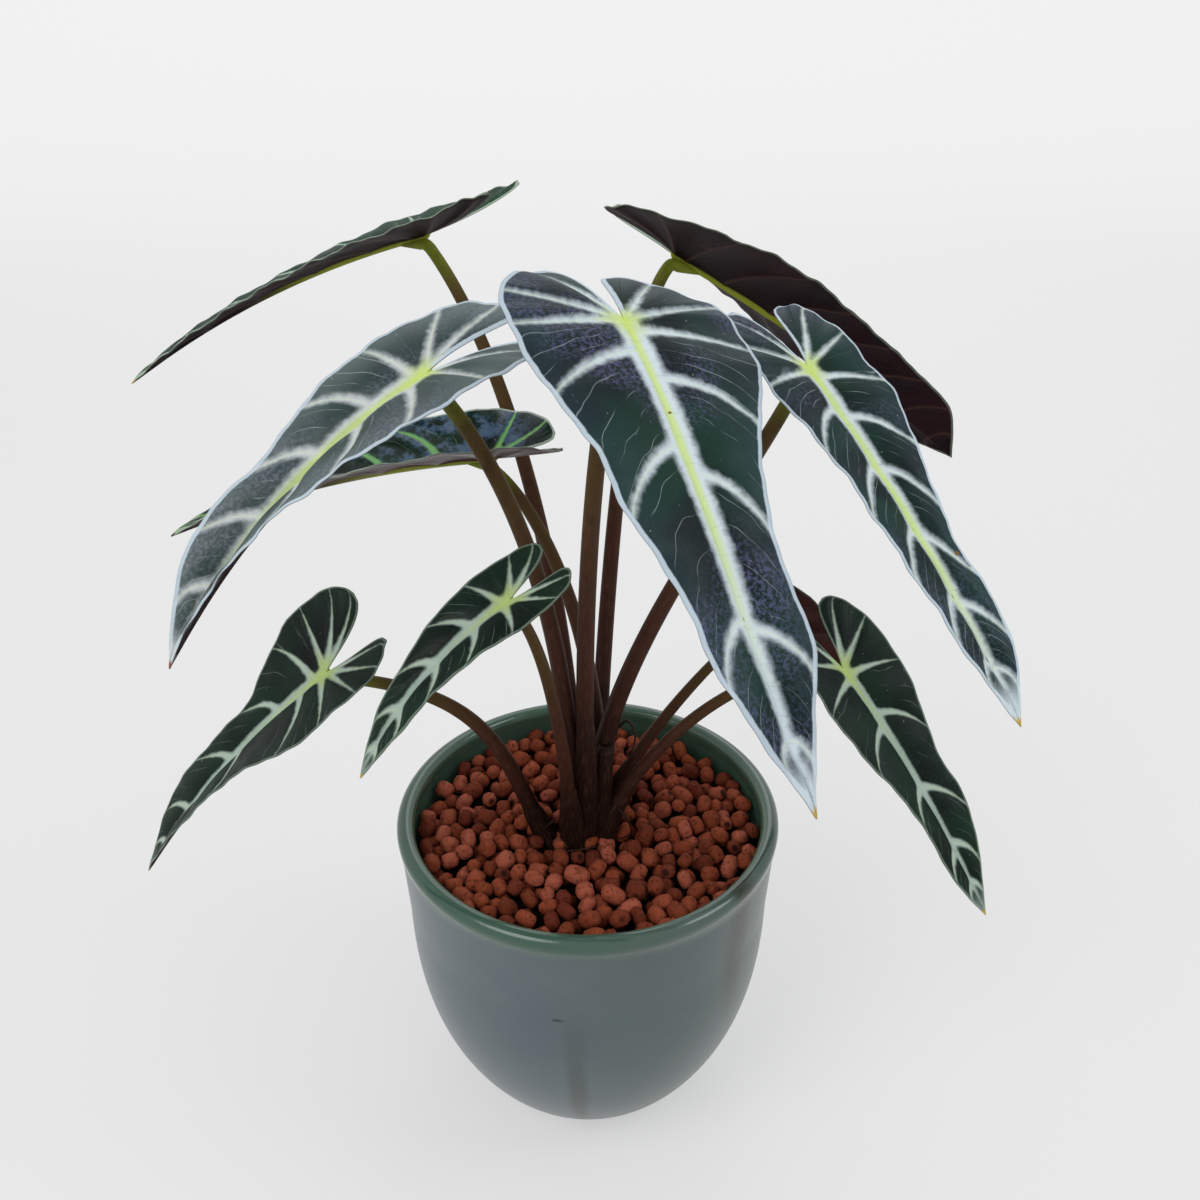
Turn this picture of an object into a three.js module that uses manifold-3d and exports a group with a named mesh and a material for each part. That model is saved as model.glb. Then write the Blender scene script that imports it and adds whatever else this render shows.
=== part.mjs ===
// Potted alocasia: ten arrowhead leaves on long stalks, growing from one crown
// in a glazed planter filled with baked clay granules.
// Millimetres, +Z up. The origin is the centre of the planter's flat base, and -Y is the front.

import * as THREE from 'three';
import { mergeVertices } from 'three/addons/utils/BufferGeometryUtils.js';
import Module from 'manifold-3d';

const wasm = await Module();
wasm.setup();

// Planter: a turned, slip-cast cup with a small rounded lip
const POT_HEIGHT = 134;
const LIP_RADIUS = 75;
const LIP_DEPTH = 7;
const LIP_PROUD = 0.9;
const SHOULDER_HEIGHT = 96;
const SHOULDER_RADIUS = 72.4;
const BASE_RADIUS = 40;
const BASE_EDGE = 1.6;
const BOWL_RISE = 2.5;
const BOWL_SPREAD = 1.14;
const WALL = 5;
const FLOOR = 7;
const AROUND = 44;

// Granules: a bed of baked clay, with one plain hole for the crown. A granule narrows upwards, so
// that no pocket is closed off between granules, and its root is sunk into the bed.
const BED_TOP = 121.5;
const BED_CLEARANCE = 0.4;
const HOLE_CENTRE = [-3, -1];
const HOLE_HALF = [19, 15];
const HOLE_BOTTOM = 92;
const HOLE_RIM = 1.06;
const GRANULE_PITCH = 9.2;
const GRANULE_SCATTER = 1.1;
const GRANULE_RADIUS = [4.7, 5.7];
const GRANULE_SPREAD = 1.16;
const GRANULE_CREST = 0.58;
const GRANULE_ROOT = 2.5;
const GRANULE_RISE = [3.6, 5.2];
const GRANULE_SIDES = 6;
const GRANULE_TILT = 12;
const GRANULE_CLEARANCE = 0.5;
const CLEARANCE_REACH = 0.4;
const CLEARANCE_STEP = 0.01;
const GRANULE_SEED = 5;

// Crown: the short corm that every stalk grows from, with the stalks' clasping bases
const CORM_CLEARANCE = 0.6;
const CORM_TOP = 120;
const STALK_FOOT = 112;
const FOOT_RADIUS = 5.2;
const STUB = { foot: [5, -5, 114], top: [7, -9, 168], radius: 3.2 };

// Leaves: the roots are where the side ribs leave the midrib, as fractions of the length. A rib
// slants towards the tip on its way to the margin, most of all away from the joint, and the blade
// bulges up between the ribs.
const BLADE_THICKNESS = 0.8;
const KEEL_DEPTH = 1.2;
const KEEL_TAPER = 0.7;
const RIB_ROOTS = [0.07, 0.19, 0.34, 0.51, 0.69, 0.85];
const RIB_SLANT = 0.15;
const RIB_SLANT_START = 0.07;
const RIB_BEND = 1.25;
const RIB_RELIEF = 0.45;
const STALK_GAP = 0.4;
const JOINT_GAP = 0.35;
const LOBE_ROWS = 4;
const COLUMNS = 3;
const STALK_SIDES = 8;
const STALK_STEPS = 11;
const CLASP_STEPS = 5;
const CLASP_TAPER = 0.7;
const DOME_RISE = 0.6;
const DOME_RADIUS = 0.8;

// Each leaf: joint is where the stalk meets the blade, length runs from there to the tip, and lobe
// is the reach of the two lobes behind it. Angles are in degrees: heading from +X, rise above level.
// sweep and hook turn the midrib, droop bends it down and lift bends the lobes up. roll and twist
// turn the blade about its midrib, fold raises both halves (at the joint, at the tip) and curl bends
// them. left and right are half-widths at every seventh of the length, seen from the joint.
// lobeTip places each lobe's tip across its half, and lobeReach scales its reach.
// The stalk is a cubic curve from its foot through two handles to the joint; clasp is how far up
// the curve its base stays grown into the crown.
const LEAVES = [
  {
    joint: [-58, 65, 340], length: 139, lobe: 36, heading: 167, sweep: 10, hook: 2,
    rise: -16, droop: 20, lift: -16, roll: 1, twist: -5, fold: [14, 11], curl: -1,
    left: [27, 25.5, 21.5, 18.5, 15, 12, 7.5], right: [27, 25.5, 21.5, 17.5, 15, 12, 8],
    lobeTip: [0.52, 0.48], lobeReach: [1, 1],
    foot: [-5, 6], low: [-3, 23, 192], high: [-24, 50, 294], clasp: 0.24, stalk: [3.2, 2.1],
  },
  {
    joint: [-45, -40, 322], length: 112, lobe: 34, heading: 208, sweep: 14, hook: -7,
    rise: -25, droop: 30, lift: 24, roll: -9, twist: 3, fold: [13, 51], curl: -11,
    left: [23, 23.5, 21.5, 19.5, 11.5, 8, 5], right: [24.5, 22, 18, 13.5, 14.5, 13.5, 7.5],
    lobeTip: [0.51, 0.47], lobeReach: [1, 1],
    foot: [-7, -1], low: [-3, -14, 189], high: [-12, -32, 276], clasp: 0.31, stalk: [3.2, 2.2],
  },
  {
    joint: [11, -64, 344], length: 136, lobe: 24, heading: -64, sweep: -23, hook: 36,
    rise: -30, droop: 25, lift: 23, roll: -9, twist: 6, fold: [1, 16], curl: -8,
    left: [37, 34, 24, 17.5, 15, 15.5, 8], right: [33, 31, 24.5, 22, 16, 14, 8],
    lobeTip: [0.1, 0.36], lobeReach: [0.84, 1],
    foot: [0, -4], low: [-2, -15, 194], high: [0, -42, 292], clasp: 0.29, stalk: [3.2, 2.3],
  },
  {
    joint: [67, -24, 319], length: 122, lobe: 30, heading: -60, sweep: 0, hook: -3,
    rise: -30, droop: 10, lift: 23, roll: -1, twist: 1, fold: [10, 18], curl: -2,
    left: [19, 20.5, 16.5, 12.5, 9.5, 10.5, 8], right: [21, 19, 15, 13.5, 12, 9.5, 6.5],
    lobeTip: [0.49, 0.47], lobeReach: [1, 0.95],
    foot: [5, 0], low: [-8, -3, 184], high: [49, -14, 269], clasp: 0.3, stalk: [3.4, 2.2],
  },
  {
    joint: [32, 64, 333], length: 145, lobe: 29, heading: -3, sweep: 21, hook: 0,
    rise: -30, droop: 11, lift: 10, roll: -17, twist: -35, fold: [13, 19], curl: -3,
    left: [38, 36.5, 31.5, 26, 21.5, 17, 11], right: [39, 38, 32.5, 25.5, 21, 17.5, 14],
    lobeTip: [0.51, 0.53], lobeReach: [1, 1],
    foot: [2, 5], low: [6, 20, 188], high: [11, 48, 312], clasp: 0.25, stalk: [3.2, 2.2],
  },
  {
    joint: [-32, 8, 277], length: 114, lobe: 23, heading: 188, sweep: -3, hook: 0,
    rise: -1, droop: 22, lift: 1, roll: 3, twist: 0, fold: [22, 22], curl: 6,
    left: [24.5, 23.5, 20.5, 17.5, 14, 11, 7], right: [25, 24.5, 20.5, 17, 14, 11, 7],
    lobeTip: [0.51, 0.45], lobeReach: [1, 1],
    foot: [-2, 1], low: [15, 2, 167], high: [-8, 6, 253], clasp: 0.38, stalk: [2.9, 1.9],
  },
  {
    joint: [-87, -34, 217], length: 104, lobe: 26, heading: 192, sweep: -5, hook: 2,
    rise: -37, droop: 20, lift: -13, roll: -22, twist: 19, fold: [16, 22], curl: -1,
    left: [22, 26.5, 20.5, 15, 12.5, 10, 6.5], right: [26, 20.5, 12.5, 12, 12.5, 12.5, 7.5],
    lobeTip: [0.49, 0.51], lobeReach: [1, 1],
    foot: [-13, -2], low: [-33, -6, 156], high: [-27, -19, 200], clasp: 0.2, stalk: [3.2, 2],
  },
  {
    joint: [-22, -62, 260], length: 69, lobe: 19, heading: 213, sweep: 0, hook: 2,
    rise: -21, droop: 38, lift: -15, roll: -12, twist: 0, fold: [13, 15], curl: -3,
    left: [14, 13, 11, 9, 8, 6.5, 4], right: [13.5, 13, 11.5, 9.5, 7.5, 6, 3],
    lobeTip: [0.5, 0.53], lobeReach: [1, 1],
    foot: [-5, -8], low: [-7, -16, 163], high: [-11, -40, 231], clasp: 0.27, stalk: [2.6, 1.6],
  },
  {
    joint: [91, -14, 206], length: 98, lobe: 25, heading: -46, sweep: 1, hook: -2,
    rise: -38, droop: 15, lift: 5, roll: 8, twist: 5, fold: [15, 16], curl: -1,
    left: [20.5, 19.5, 16, 12.5, 13, 10.5, 5.5], right: [20, 20, 18, 13.5, 9.5, 8.5, 6.5],
    lobeTip: [0.5, 0.46], lobeReach: [1, 1],
    foot: [7, -4], low: [1, -6, 138], high: [48, -7, 210], clasp: 0.36, stalk: [2.5, 1.7],
  },
  {
    joint: [69, 22, 209], length: 84, lobe: 21, heading: 3, sweep: 0, hook: 0,
    rise: -38, droop: 14, lift: 5, roll: -40, twist: -5, fold: [17, 15], curl: 5,
    left: [18, 17.5, 15, 12.5, 10.5, 8, 5], right: [19.5, 18, 15.5, 12.5, 10.5, 8, 5],
    lobeTip: [0.5, 0.53], lobeReach: [1, 1],
    foot: [7, 3], low: [-2, 4, 131], high: [46, 14, 195], clasp: 0.4, stalk: [2.4, 1.6],
  },
];

const radians = THREE.MathUtils.degToRad;
const clamp = THREE.MathUtils.clamp;

function solid(geometry) {
  const bare = geometry.clone();
  bare.deleteAttribute('normal');
  bare.deleteAttribute('uv');
  const merged = mergeVertices(bare, 1e-4);
  return new wasm.Manifold(new wasm.Mesh({
    numProp: 3,
    vertProperties: new Float32Array(merged.attributes.position.array),
    triVerts: new Uint32Array(merged.index.array),
  }));
}

function geometryOf(manifold) {
  const mesh = manifold.getMesh();
  const geometry = new THREE.BufferGeometry();
  geometry.setAttribute('position', new THREE.BufferAttribute(mesh.vertProperties, 3));
  geometry.setIndex(new THREE.BufferAttribute(mesh.triVerts, 1));
  return geometry;
}

// A closed body built point by point: equal points share one vertex, and a triangle that has
// shrunk to a line is left out.
class Body {
  constructor() {
    this.points = [];
    this.triangles = [];
    this.known = new Map();
  }

  point(v) {
    const key = [v.x, v.y, v.z].map((c) => Math.round(c * 1e4)).join(',');
    if (!this.known.has(key)) {
      this.known.set(key, this.known.size);
      this.points.push(v.x, v.y, v.z);
    }
    return this.known.get(key);
  }

  triangle(a, b, c) {
    if (a !== b && b !== c && c !== a) this.triangles.push(a, b, c);
  }

  geometry() {
    const geometry = new THREE.BufferGeometry();
    geometry.setAttribute('position', new THREE.Float32BufferAttribute(this.points, 3));
    geometry.setIndex(this.triangles);
    geometry.computeVertexNormals();
    return geometry;
  }
}

// Planter

// Outside radius of the wall at height z: a bowl that rises steeply from the base and runs
// nearly straight from the shoulder to the lip.
function wallRadius(z) {
  if (z >= SHOULDER_HEIGHT) {
    const t = (z - SHOULDER_HEIGHT) / (POT_HEIGHT - LIP_DEPTH - SHOULDER_HEIGHT);
    return SHOULDER_RADIUS + t * (LIP_RADIUS - LIP_PROUD - SHOULDER_RADIUS);
  }
  const bowl = 1 - (1 - z / SHOULDER_HEIGHT) ** BOWL_RISE;
  return BASE_RADIUS + (SHOULDER_RADIUS - BASE_RADIUS) * bowl ** (1 / BOWL_SPREAD);
}

function innerRadius(z) {
  return wallRadius(Math.max(z, FLOOR)) - WALL;
}

const OUTER_STEPS = [0.025, 0.07, 0.14, 0.24, 0.38, 0.55, 0.76, 1];
const INNER_STEPS = [1, 0.7, 0.45, 0.25, 0.1, 0];

function potGeometry() {
  const lipBottom = POT_HEIGHT - LIP_DEPTH;
  const profile = [
    [0, 0],
    [BASE_RADIUS - BASE_EDGE, 0],
    [BASE_RADIUS - BASE_EDGE * 0.3, BASE_EDGE * 0.3],
  ];
  for (const step of OUTER_STEPS) {
    const z = SHOULDER_HEIGHT * step;
    profile.push([wallRadius(z), z]);
  }
  const crest = LIP_RADIUS - LIP_PROUD - WALL / 2;
  const half = LIP_RADIUS - crest;
  profile.push([wallRadius(lipBottom), lipBottom]);
  profile.push([LIP_RADIUS, lipBottom + LIP_PROUD * 1.5]);
  for (let degrees = 18; degrees < 180; degrees += 36) {
    const angle = radians(degrees);
    profile.push([crest + half * Math.cos(angle), POT_HEIGHT - half + half * Math.sin(angle)]);
  }
  for (const step of INNER_STEPS) {
    const z = FLOOR + (lipBottom - FLOOR) * step;
    profile.push([innerRadius(z), z]);
  }
  profile.push([0, FLOOR]);
  return turned(profile);
}

// A profile of radius and height turned about the vertical axis.
function turned(profile) {
  const lathe = new THREE.LatheGeometry(profile.map(([r, z]) => new THREE.Vector2(r, z)), AROUND);
  return lathe.rotateX(Math.PI / 2);
}

// Leaf blades

// Direction of the midrib at fraction t of the length; t below 0 runs back into the lobes.
function midribTurn(leaf, t) {
  const ahead = Math.max(t, 0);
  const back = Math.max(-t, 0) * leaf.length / leaf.lobe;
  const yaw = radians(leaf.heading + leaf.sweep * t + leaf.hook * ahead * ahead);
  const pitch = radians(leaf.rise - leaf.droop * ahead + leaf.lift * back);
  return { yaw, pitch };
}

function midribDirection(leaf, t) {
  const { yaw, pitch } = midribTurn(leaf, t);
  const level = Math.cos(pitch);
  return new THREE.Vector3(level * Math.cos(yaw), level * Math.sin(yaw), Math.sin(pitch));
}

// Point on the midrib at fraction t: the directions summed in small steps from the joint.
function midribPoint(leaf, t) {
  const steps = 40;
  const point = new THREE.Vector3(...leaf.joint);
  for (let k = 0; k < steps; k += 1) {
    point.addScaledVector(midribDirection(leaf, t * (k + 0.5) / steps), t * leaf.length / steps);
  }
  return point;
}

// Frame of the blade at fraction t: across points to the leaf's left, up is its upper side.
function bladeFrame(leaf, t) {
  const { yaw } = midribTurn(leaf, t);
  const along = midribDirection(leaf, t);
  const level = new THREE.Vector3(-Math.sin(yaw), Math.cos(yaw), 0);
  const above = new THREE.Vector3().crossVectors(along, level);
  const roll = radians(leaf.roll + leaf.twist * t);
  const across = level.clone().multiplyScalar(Math.cos(roll)).addScaledVector(above, Math.sin(roll));
  const up = above.multiplyScalar(Math.cos(roll)).addScaledVector(level, -Math.sin(roll));
  return { across, up };
}

// Half-width at fraction t: a smooth curve through the values at each seventh, falling to 0
// at the tip and level at the joint.
function halfWidth(widths, t) {
  const values = [...widths, 0, -widths[widths.length - 1]];
  const x = clamp(t, 0, 1) * widths.length;
  const i = Math.min(Math.floor(x), widths.length - 1);
  const f = x - i;
  const before = values[i === 0 ? 1 : i - 1];
  const slopeA = (values[i + 1] - before) / 2;
  const slopeB = (values[i + 2] - values[i]) / 2;
  const f2 = f * f;
  const f3 = f2 * f;
  return values[i] * (2 * f3 - 3 * f2 + 1) + slopeA * (f3 - 2 * f2 + f)
    + values[i + 1] * (3 * f2 - 2 * f3) + slopeB * (f3 - f2);
}

// Edges of a lobe at fraction q of its reach, as shares of the half-width at the joint: the outer
// edge rounds in to the lobe's tip, and the inner edge leaves the sinus to meet it there.
function lobeOuter(q, tip) {
  return tip + (1 - tip) * Math.max(1 - q ** 2.6, 0) ** (1 / 1.9);
}

function lobeInner(q, tip) {
  return tip * (0.55 * q ** 0.8 + 0.45 * (1 - Math.max(1 - q ** 5, 0) ** (1 / 2.2)));
}

// Point of one half (side 1 is left, -1 is right) at fraction t and distance u from the midrib.
function bladePoint(leaf, t, u, side) {
  const { across, up } = bladeFrame(leaf, t);
  const widest = Math.max(leaf.left[0], leaf.right[0]);
  const fold = leaf.fold[0] + (leaf.fold[1] - leaf.fold[0]) * Math.max(t, 0);
  const angle = radians(fold + leaf.curl * u / (2 * widest));
  const point = midribPoint(leaf, t);
  point.addScaledVector(across, side * u * Math.cos(angle)).addScaledVector(up, u * Math.sin(angle));
  const normal = up.clone();
  if (u > 0) normal.multiplyScalar(Math.cos(angle)).addScaledVector(across, -side * Math.sin(angle));
  return { point, normal };
}

// How far towards the tip a rib that roots at fraction t has slanted when it meets the margin.
function ribSlant(t) {
  return RIB_SLANT * (1 - Math.exp(-t / RIB_SLANT_START)) * (1 - t ** 4);
}

// Places across one half, row by row from the lobe's tip to the leaf's tip: the fraction t, the
// distance u from the midrib, and the relief. Rows run along the ribs and halfway between them.
function bladeRows(leaf, side) {
  const widths = side > 0 ? leaf.left : leaf.right;
  const tip = leaf.lobeTip[side > 0 ? 0 : 1];
  const reach = leaf.lobeReach[side > 0 ? 0 : 1] * leaf.lobe / leaf.length;
  const shares = Array.from({ length: COLUMNS + 1 }, (_, j) => j / COLUMNS);
  const rows = [];
  for (let k = LOBE_ROWS; k > 0; k -= 1) {
    const q = Math.sin(Math.PI / 2 * k / LOBE_ROWS);
    const inner = widths[0] * lobeInner(q, tip);
    const outer = widths[0] * lobeOuter(q, tip);
    rows.push(shares.map((share) => ({ t: -q * reach, u: inner + (outer - inner) * share, relief: 0 })));
  }
  const ribRow = (root, bulge) => shares.map((share) => {
    const t = root + ribSlant(root) * share ** RIB_BEND;
    const relief = bulge * RIB_RELIEF * Math.sin(Math.PI * share) * (1 - root);
    return { t, u: share * halfWidth(widths, t), relief };
  });
  const roots = [0, ...RIB_ROOTS, 1];
  for (let k = 0; k + 1 < roots.length; k += 1) {
    rows.push(ribRow(roots[k], k === 0 ? 0 : -1));
    rows.push(ribRow((roots[k] + roots[k + 1]) / 2, 1));
  }
  rows.push(ribRow(1, 0));
  return rows;
}

// A blade is two thin halves that share the midrib, with a keel along its underside. Both faces
// are split along the same diagonals.
function bladeGeometry(leaf) {
  const body = new Body();
  const half = BLADE_THICKNESS / 2;
  for (const side of [1, -1]) {
    const face = (a, b, c) => (side > 0 ? body.triangle(a, b, c) : body.triangle(a, c, b));
    const grid = bladeRows(leaf, side).map((row) => row.map(({ t, u, relief }) => {
      const { point, normal } = bladePoint(leaf, t, u, side);
      const keel = u === 0 && t < 1 ? KEEL_DEPTH * (1 - t) ** KEEL_TAPER : 0;
      const top = point.clone().addScaledVector(normal, relief + half);
      const under = point.clone().addScaledVector(normal, relief - half - keel);
      return [body.point(top), body.point(under)];
    }));
    for (let i = 0; i + 1 < grid.length; i += 1) {
      for (let j = 0; j < COLUMNS; j += 1) {
        const [a, b, c, d] = [grid[i][j], grid[i + 1][j], grid[i + 1][j + 1], grid[i][j + 1]];
        face(a[0], b[0], c[0]);
        face(a[0], c[0], d[0]);
        face(a[1], c[1], b[1]);
        face(a[1], d[1], c[1]);
      }
      const [edgeA, edgeB] = [grid[i][COLUMNS], grid[i + 1][COLUMNS]];
      face(edgeA[1], edgeA[0], edgeB[0]);
      face(edgeA[1], edgeB[0], edgeB[1]);
      if (i < LOBE_ROWS) {
        const [innerA, innerB] = [grid[i][0], grid[i + 1][0]];
        face(innerA[1], innerB[0], innerA[0]);
        face(innerA[1], innerB[1], innerB[0]);
      }
    }
  }
  return body.geometry();
}

// Stalks

// The stalk's curve ends inside its own rounded top, clear of the keel below the joint.
function stalkCurve(leaf) {
  const { up } = bladeFrame(leaf, 0);
  const drop = BLADE_THICKNESS / 2 + KEEL_DEPTH + STALK_GAP + leaf.stalk[1];
  return new THREE.CubicBezierCurve3(
    new THREE.Vector3(...leaf.foot, STALK_FOOT),
    new THREE.Vector3(...leaf.low),
    new THREE.Vector3(...leaf.high),
    new THREE.Vector3(...leaf.joint).addScaledVector(up, -drop),
  );
}

// Radius of a stalk at fraction t of its curve: thick where it clasps the crown, then tapering.
function stalkRadius(leaf, t) {
  const [lower, upper] = leaf.stalk;
  if (t <= leaf.clasp) return FOOT_RADIUS + (lower - FOOT_RADIUS) * (t / leaf.clasp) ** CLASP_TAPER;
  return lower + (upper - lower) * (t - leaf.clasp) / (1 - leaf.clasp);
}

// A round stem along a curve between two fractions. The lower end is flat, and the upper end is
// flat or domed.
function stemGeometry(curve, from, to, radiusAt, steps, domed) {
  const body = new Body();
  const rings = [];
  let side = new THREE.Vector3(1, 0, 0);
  const ring = (centre, along, radius) => {
    side = side.clone().addScaledVector(along, -side.dot(along)).normalize();
    const other = new THREE.Vector3().crossVectors(along, side);
    const row = [];
    for (let k = 0; k < STALK_SIDES; k += 1) {
      const angle = 2 * Math.PI * k / STALK_SIDES;
      const point = centre.clone().addScaledVector(side, radius * Math.cos(angle));
      row.push(body.point(point.addScaledVector(other, radius * Math.sin(angle))));
    }
    rings.push(row);
  };
  for (let k = 0; k <= steps; k += 1) {
    const t = from + (to - from) * k / steps;
    ring(curve.getPoint(t), curve.getTangent(t), radiusAt(t));
  }
  const along = curve.getTangent(to);
  const radius = radiusAt(to);
  const end = curve.getPoint(to);
  if (domed) ring(end.clone().addScaledVector(along, radius * DOME_RISE), along, radius * DOME_RADIUS);
  const top = body.point(domed ? end.clone().addScaledVector(along, radius) : end);
  const bottom = body.point(curve.getPoint(from));
  for (let i = 0; i + 1 < rings.length; i += 1) {
    for (let k = 0; k < STALK_SIDES; k += 1) {
      const next = (k + 1) % STALK_SIDES;
      body.triangle(rings[i][k], rings[i][next], rings[i + 1][next]);
      body.triangle(rings[i][k], rings[i + 1][next], rings[i + 1][k]);
    }
  }
  for (let k = 0; k < STALK_SIDES; k += 1) {
    const next = (k + 1) % STALK_SIDES;
    body.triangle(bottom, rings[0][next], rings[0][k]);
    body.triangle(top, rings[rings.length - 1][k], rings[rings.length - 1][next]);
  }
  return body.geometry();
}

function stalkGeometry(leaf) {
  const curve = stalkCurve(leaf);
  const from = leaf.clasp + JOINT_GAP / curve.getLength();
  return stemGeometry(curve, from, 1, (t) => stalkRadius(leaf, t), STALK_STEPS, true);
}

// Crown

function cormGeometry() {
  const bottom = HOLE_BOTTOM + CORM_CLEARANCE;
  const profile = [[0, bottom], [0.55, bottom + 1], [0.9, bottom + 7], [1, bottom + 14],
    [0.95, CORM_TOP - 5], [0.75, CORM_TOP - 1], [0, CORM_TOP]];
  const [x, y] = HOLE_HALF.map((half) => half - CORM_CLEARANCE);
  const corm = turned(profile).scale(x, y, 1);
  return corm.translate(HOLE_CENTRE[0], HOLE_CENTRE[1], 0);
}

function crownGeometry() {
  const pieces = [solid(cormGeometry())];
  for (const leaf of LEAVES) {
    const radius = (t) => stalkRadius(leaf, t);
    pieces.push(solid(stemGeometry(stalkCurve(leaf), 0, leaf.clasp, radius, CLASP_STEPS, false)));
  }
  const stub = new THREE.LineCurve3(new THREE.Vector3(...STUB.foot), new THREE.Vector3(...STUB.top));
  pieces.push(solid(stemGeometry(stub, 0, 1, () => STUB.radius, 2, false)));
  return geometryOf(wasm.Manifold.union(pieces));
}

// Granules

// A repeatable random number between 0 and 1.
function seeded(seed) {
  let state = seed;
  return () => {
    state = (state * 1664525 + 1013904223) % 4294967296;
    return state / 4294967296;
  };
}

// Distance from a point to the nearest stalk's surface, near the granules.
function stalkClearance(point) {
  let clearance = Infinity;
  for (const leaf of LEAVES) {
    const curve = stalkCurve(leaf);
    for (let t = 0; t <= CLEARANCE_REACH; t += CLEARANCE_STEP) {
      const away = curve.getPoint(t).distanceTo(point) - stalkRadius(leaf, t);
      clearance = Math.min(clearance, away);
    }
  }
  return clearance;
}

// Places of the granules: a staggered pattern with a little scatter, over the bed between the hole
// and the wall, each clear of the wall and the stalks.
function granulePlaces() {
  const random = seeded(GRANULE_SEED);
  const lerp = THREE.MathUtils.lerp;
  const rowPitch = GRANULE_PITCH * Math.sin(Math.PI / 3);
  const wall = innerRadius(BED_TOP) * Math.cos(Math.PI / AROUND) - BED_CLEARANCE;
  const rows = Math.ceil(wall / rowPitch);
  const places = [];
  for (let row = -rows; row <= rows; row += 1) {
    for (let column = -rows; column <= rows; column += 1) {
      const stagger = row % 2 === 0 ? 0 : 0.5;
      const x = (column + stagger) * GRANULE_PITCH + GRANULE_SCATTER * (2 * random() - 1);
      const y = row * rowPitch + GRANULE_SCATTER * (2 * random() - 1);
      const rise = lerp(...GRANULE_RISE, random());
      const radius = lerp(...GRANULE_RADIUS, random());
      const tilt = () => radians(GRANULE_TILT) * (2 * random() - 1);
      const turn = new THREE.Euler(tilt(), tilt(), Math.PI * random());
      const reach = radius * GRANULE_SPREAD;
      const centre = new THREE.Vector3(x, y, BED_TOP);
      const away = Math.hypot(x, y);
      const overHole = Math.hypot((x - HOLE_CENTRE[0]) / HOLE_HALF[0], (y - HOLE_CENTRE[1]) / HOLE_HALF[1]);
      if (away > wall - reach / 2 || overHole < HOLE_RIM) continue;
      if (stalkClearance(centre) < reach + GRANULE_CLEARANCE) continue;
      const inwards = Math.min(1, (wall - reach) / away);
      centre.setX(x * inwards).setY(y * inwards);
      places.push({ centre, radius, rise, turn });
    }
  }
  return places;
}

function granuleGeometry({ centre, radius, rise, turn }) {
  const height = rise + GRANULE_ROOT;
  const granule = new THREE.CylinderGeometry(radius * GRANULE_CREST, radius, height, GRANULE_SIDES);
  granule.rotateX(Math.PI / 2).scale(GRANULE_SPREAD, 1, 1);
  granule.translate(0, 0, height / 2 - GRANULE_ROOT);
  granule.applyMatrix4(new THREE.Matrix4().makeRotationFromEuler(turn));
  return granule.translate(centre.x, centre.y, centre.z);
}

function bedGeometry() {
  const profile = [[0, FLOOR + BED_CLEARANCE]];
  const heights = INNER_STEPS.map((step) => FLOOR + (POT_HEIGHT - LIP_DEPTH - FLOOR) * step).reverse();
  for (const height of [...heights.filter((z) => z < BED_TOP - 2), BED_TOP]) {
    const z = Math.max(height, FLOOR + BED_CLEARANCE);
    profile.push([innerRadius(height) - BED_CLEARANCE, z]);
  }
  profile.push([0, BED_TOP]);
  const hole = new THREE.CylinderGeometry(1, 1, BED_TOP - HOLE_BOTTOM + 20, 28);
  hole.rotateX(Math.PI / 2).scale(HOLE_HALF[0], HOLE_HALF[1], 1);
  hole.translate(HOLE_CENTRE[0], HOLE_CENTRE[1], (BED_TOP + HOLE_BOTTOM + 20) / 2);
  const bed = solid(turned(profile)).subtract(solid(hole));
  const granules = granulePlaces().map((place) => solid(granuleGeometry(place)));
  return geometryOf(wasm.Manifold.union([bed, ...granules]));
}

// Finishes
const FINISHES = {
  glaze: { color: 0x64706f, roughness: 0.3 },
  clay: { color: 0x8a4434, roughness: 0.9 },
  stalk: { color: 0x3a2320, roughness: 0.45 },
  leaf: { color: 0x1f3a30, roughness: 0.35 },
};

const plant = new THREE.Group();

function add(name, geometry, finish) {
  const mesh = new THREE.Mesh(geometry, new THREE.MeshStandardMaterial(FINISHES[finish]));
  mesh.name = name;
  plant.add(mesh);
}

add('pot', potGeometry(), 'glaze');
add('clay_granules', bedGeometry(), 'clay');
add('crown', crownGeometry(), 'stalk');
LEAVES.forEach((leaf, index) => {
  add(`stalk_${index + 1}`, stalkGeometry(leaf), 'stalk');
  add(`blade_${index + 1}`, bladeGeometry(leaf), 'leaf');
});

export default plant;
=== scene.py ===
import math
from types import SimpleNamespace

import bmesh
import bpy
import numpy as np
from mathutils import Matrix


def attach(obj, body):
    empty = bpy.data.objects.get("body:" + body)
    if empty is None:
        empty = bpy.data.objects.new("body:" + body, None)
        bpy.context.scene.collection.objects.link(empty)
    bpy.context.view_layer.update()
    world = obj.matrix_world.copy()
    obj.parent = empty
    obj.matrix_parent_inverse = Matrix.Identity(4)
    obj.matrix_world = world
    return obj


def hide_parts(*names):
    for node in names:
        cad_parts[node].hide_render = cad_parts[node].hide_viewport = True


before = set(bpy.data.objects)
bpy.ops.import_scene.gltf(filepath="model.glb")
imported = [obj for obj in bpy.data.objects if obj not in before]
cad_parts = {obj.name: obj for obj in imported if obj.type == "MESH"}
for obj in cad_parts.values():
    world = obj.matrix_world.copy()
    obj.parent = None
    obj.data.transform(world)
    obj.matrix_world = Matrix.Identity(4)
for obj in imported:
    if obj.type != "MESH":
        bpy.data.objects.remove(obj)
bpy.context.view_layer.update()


# Stage: a pale seamless sweep under the plant, lit like a bright plain studio, with the camera
# looking down at the planter from the front. Its sizes and places are in metres.

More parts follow.
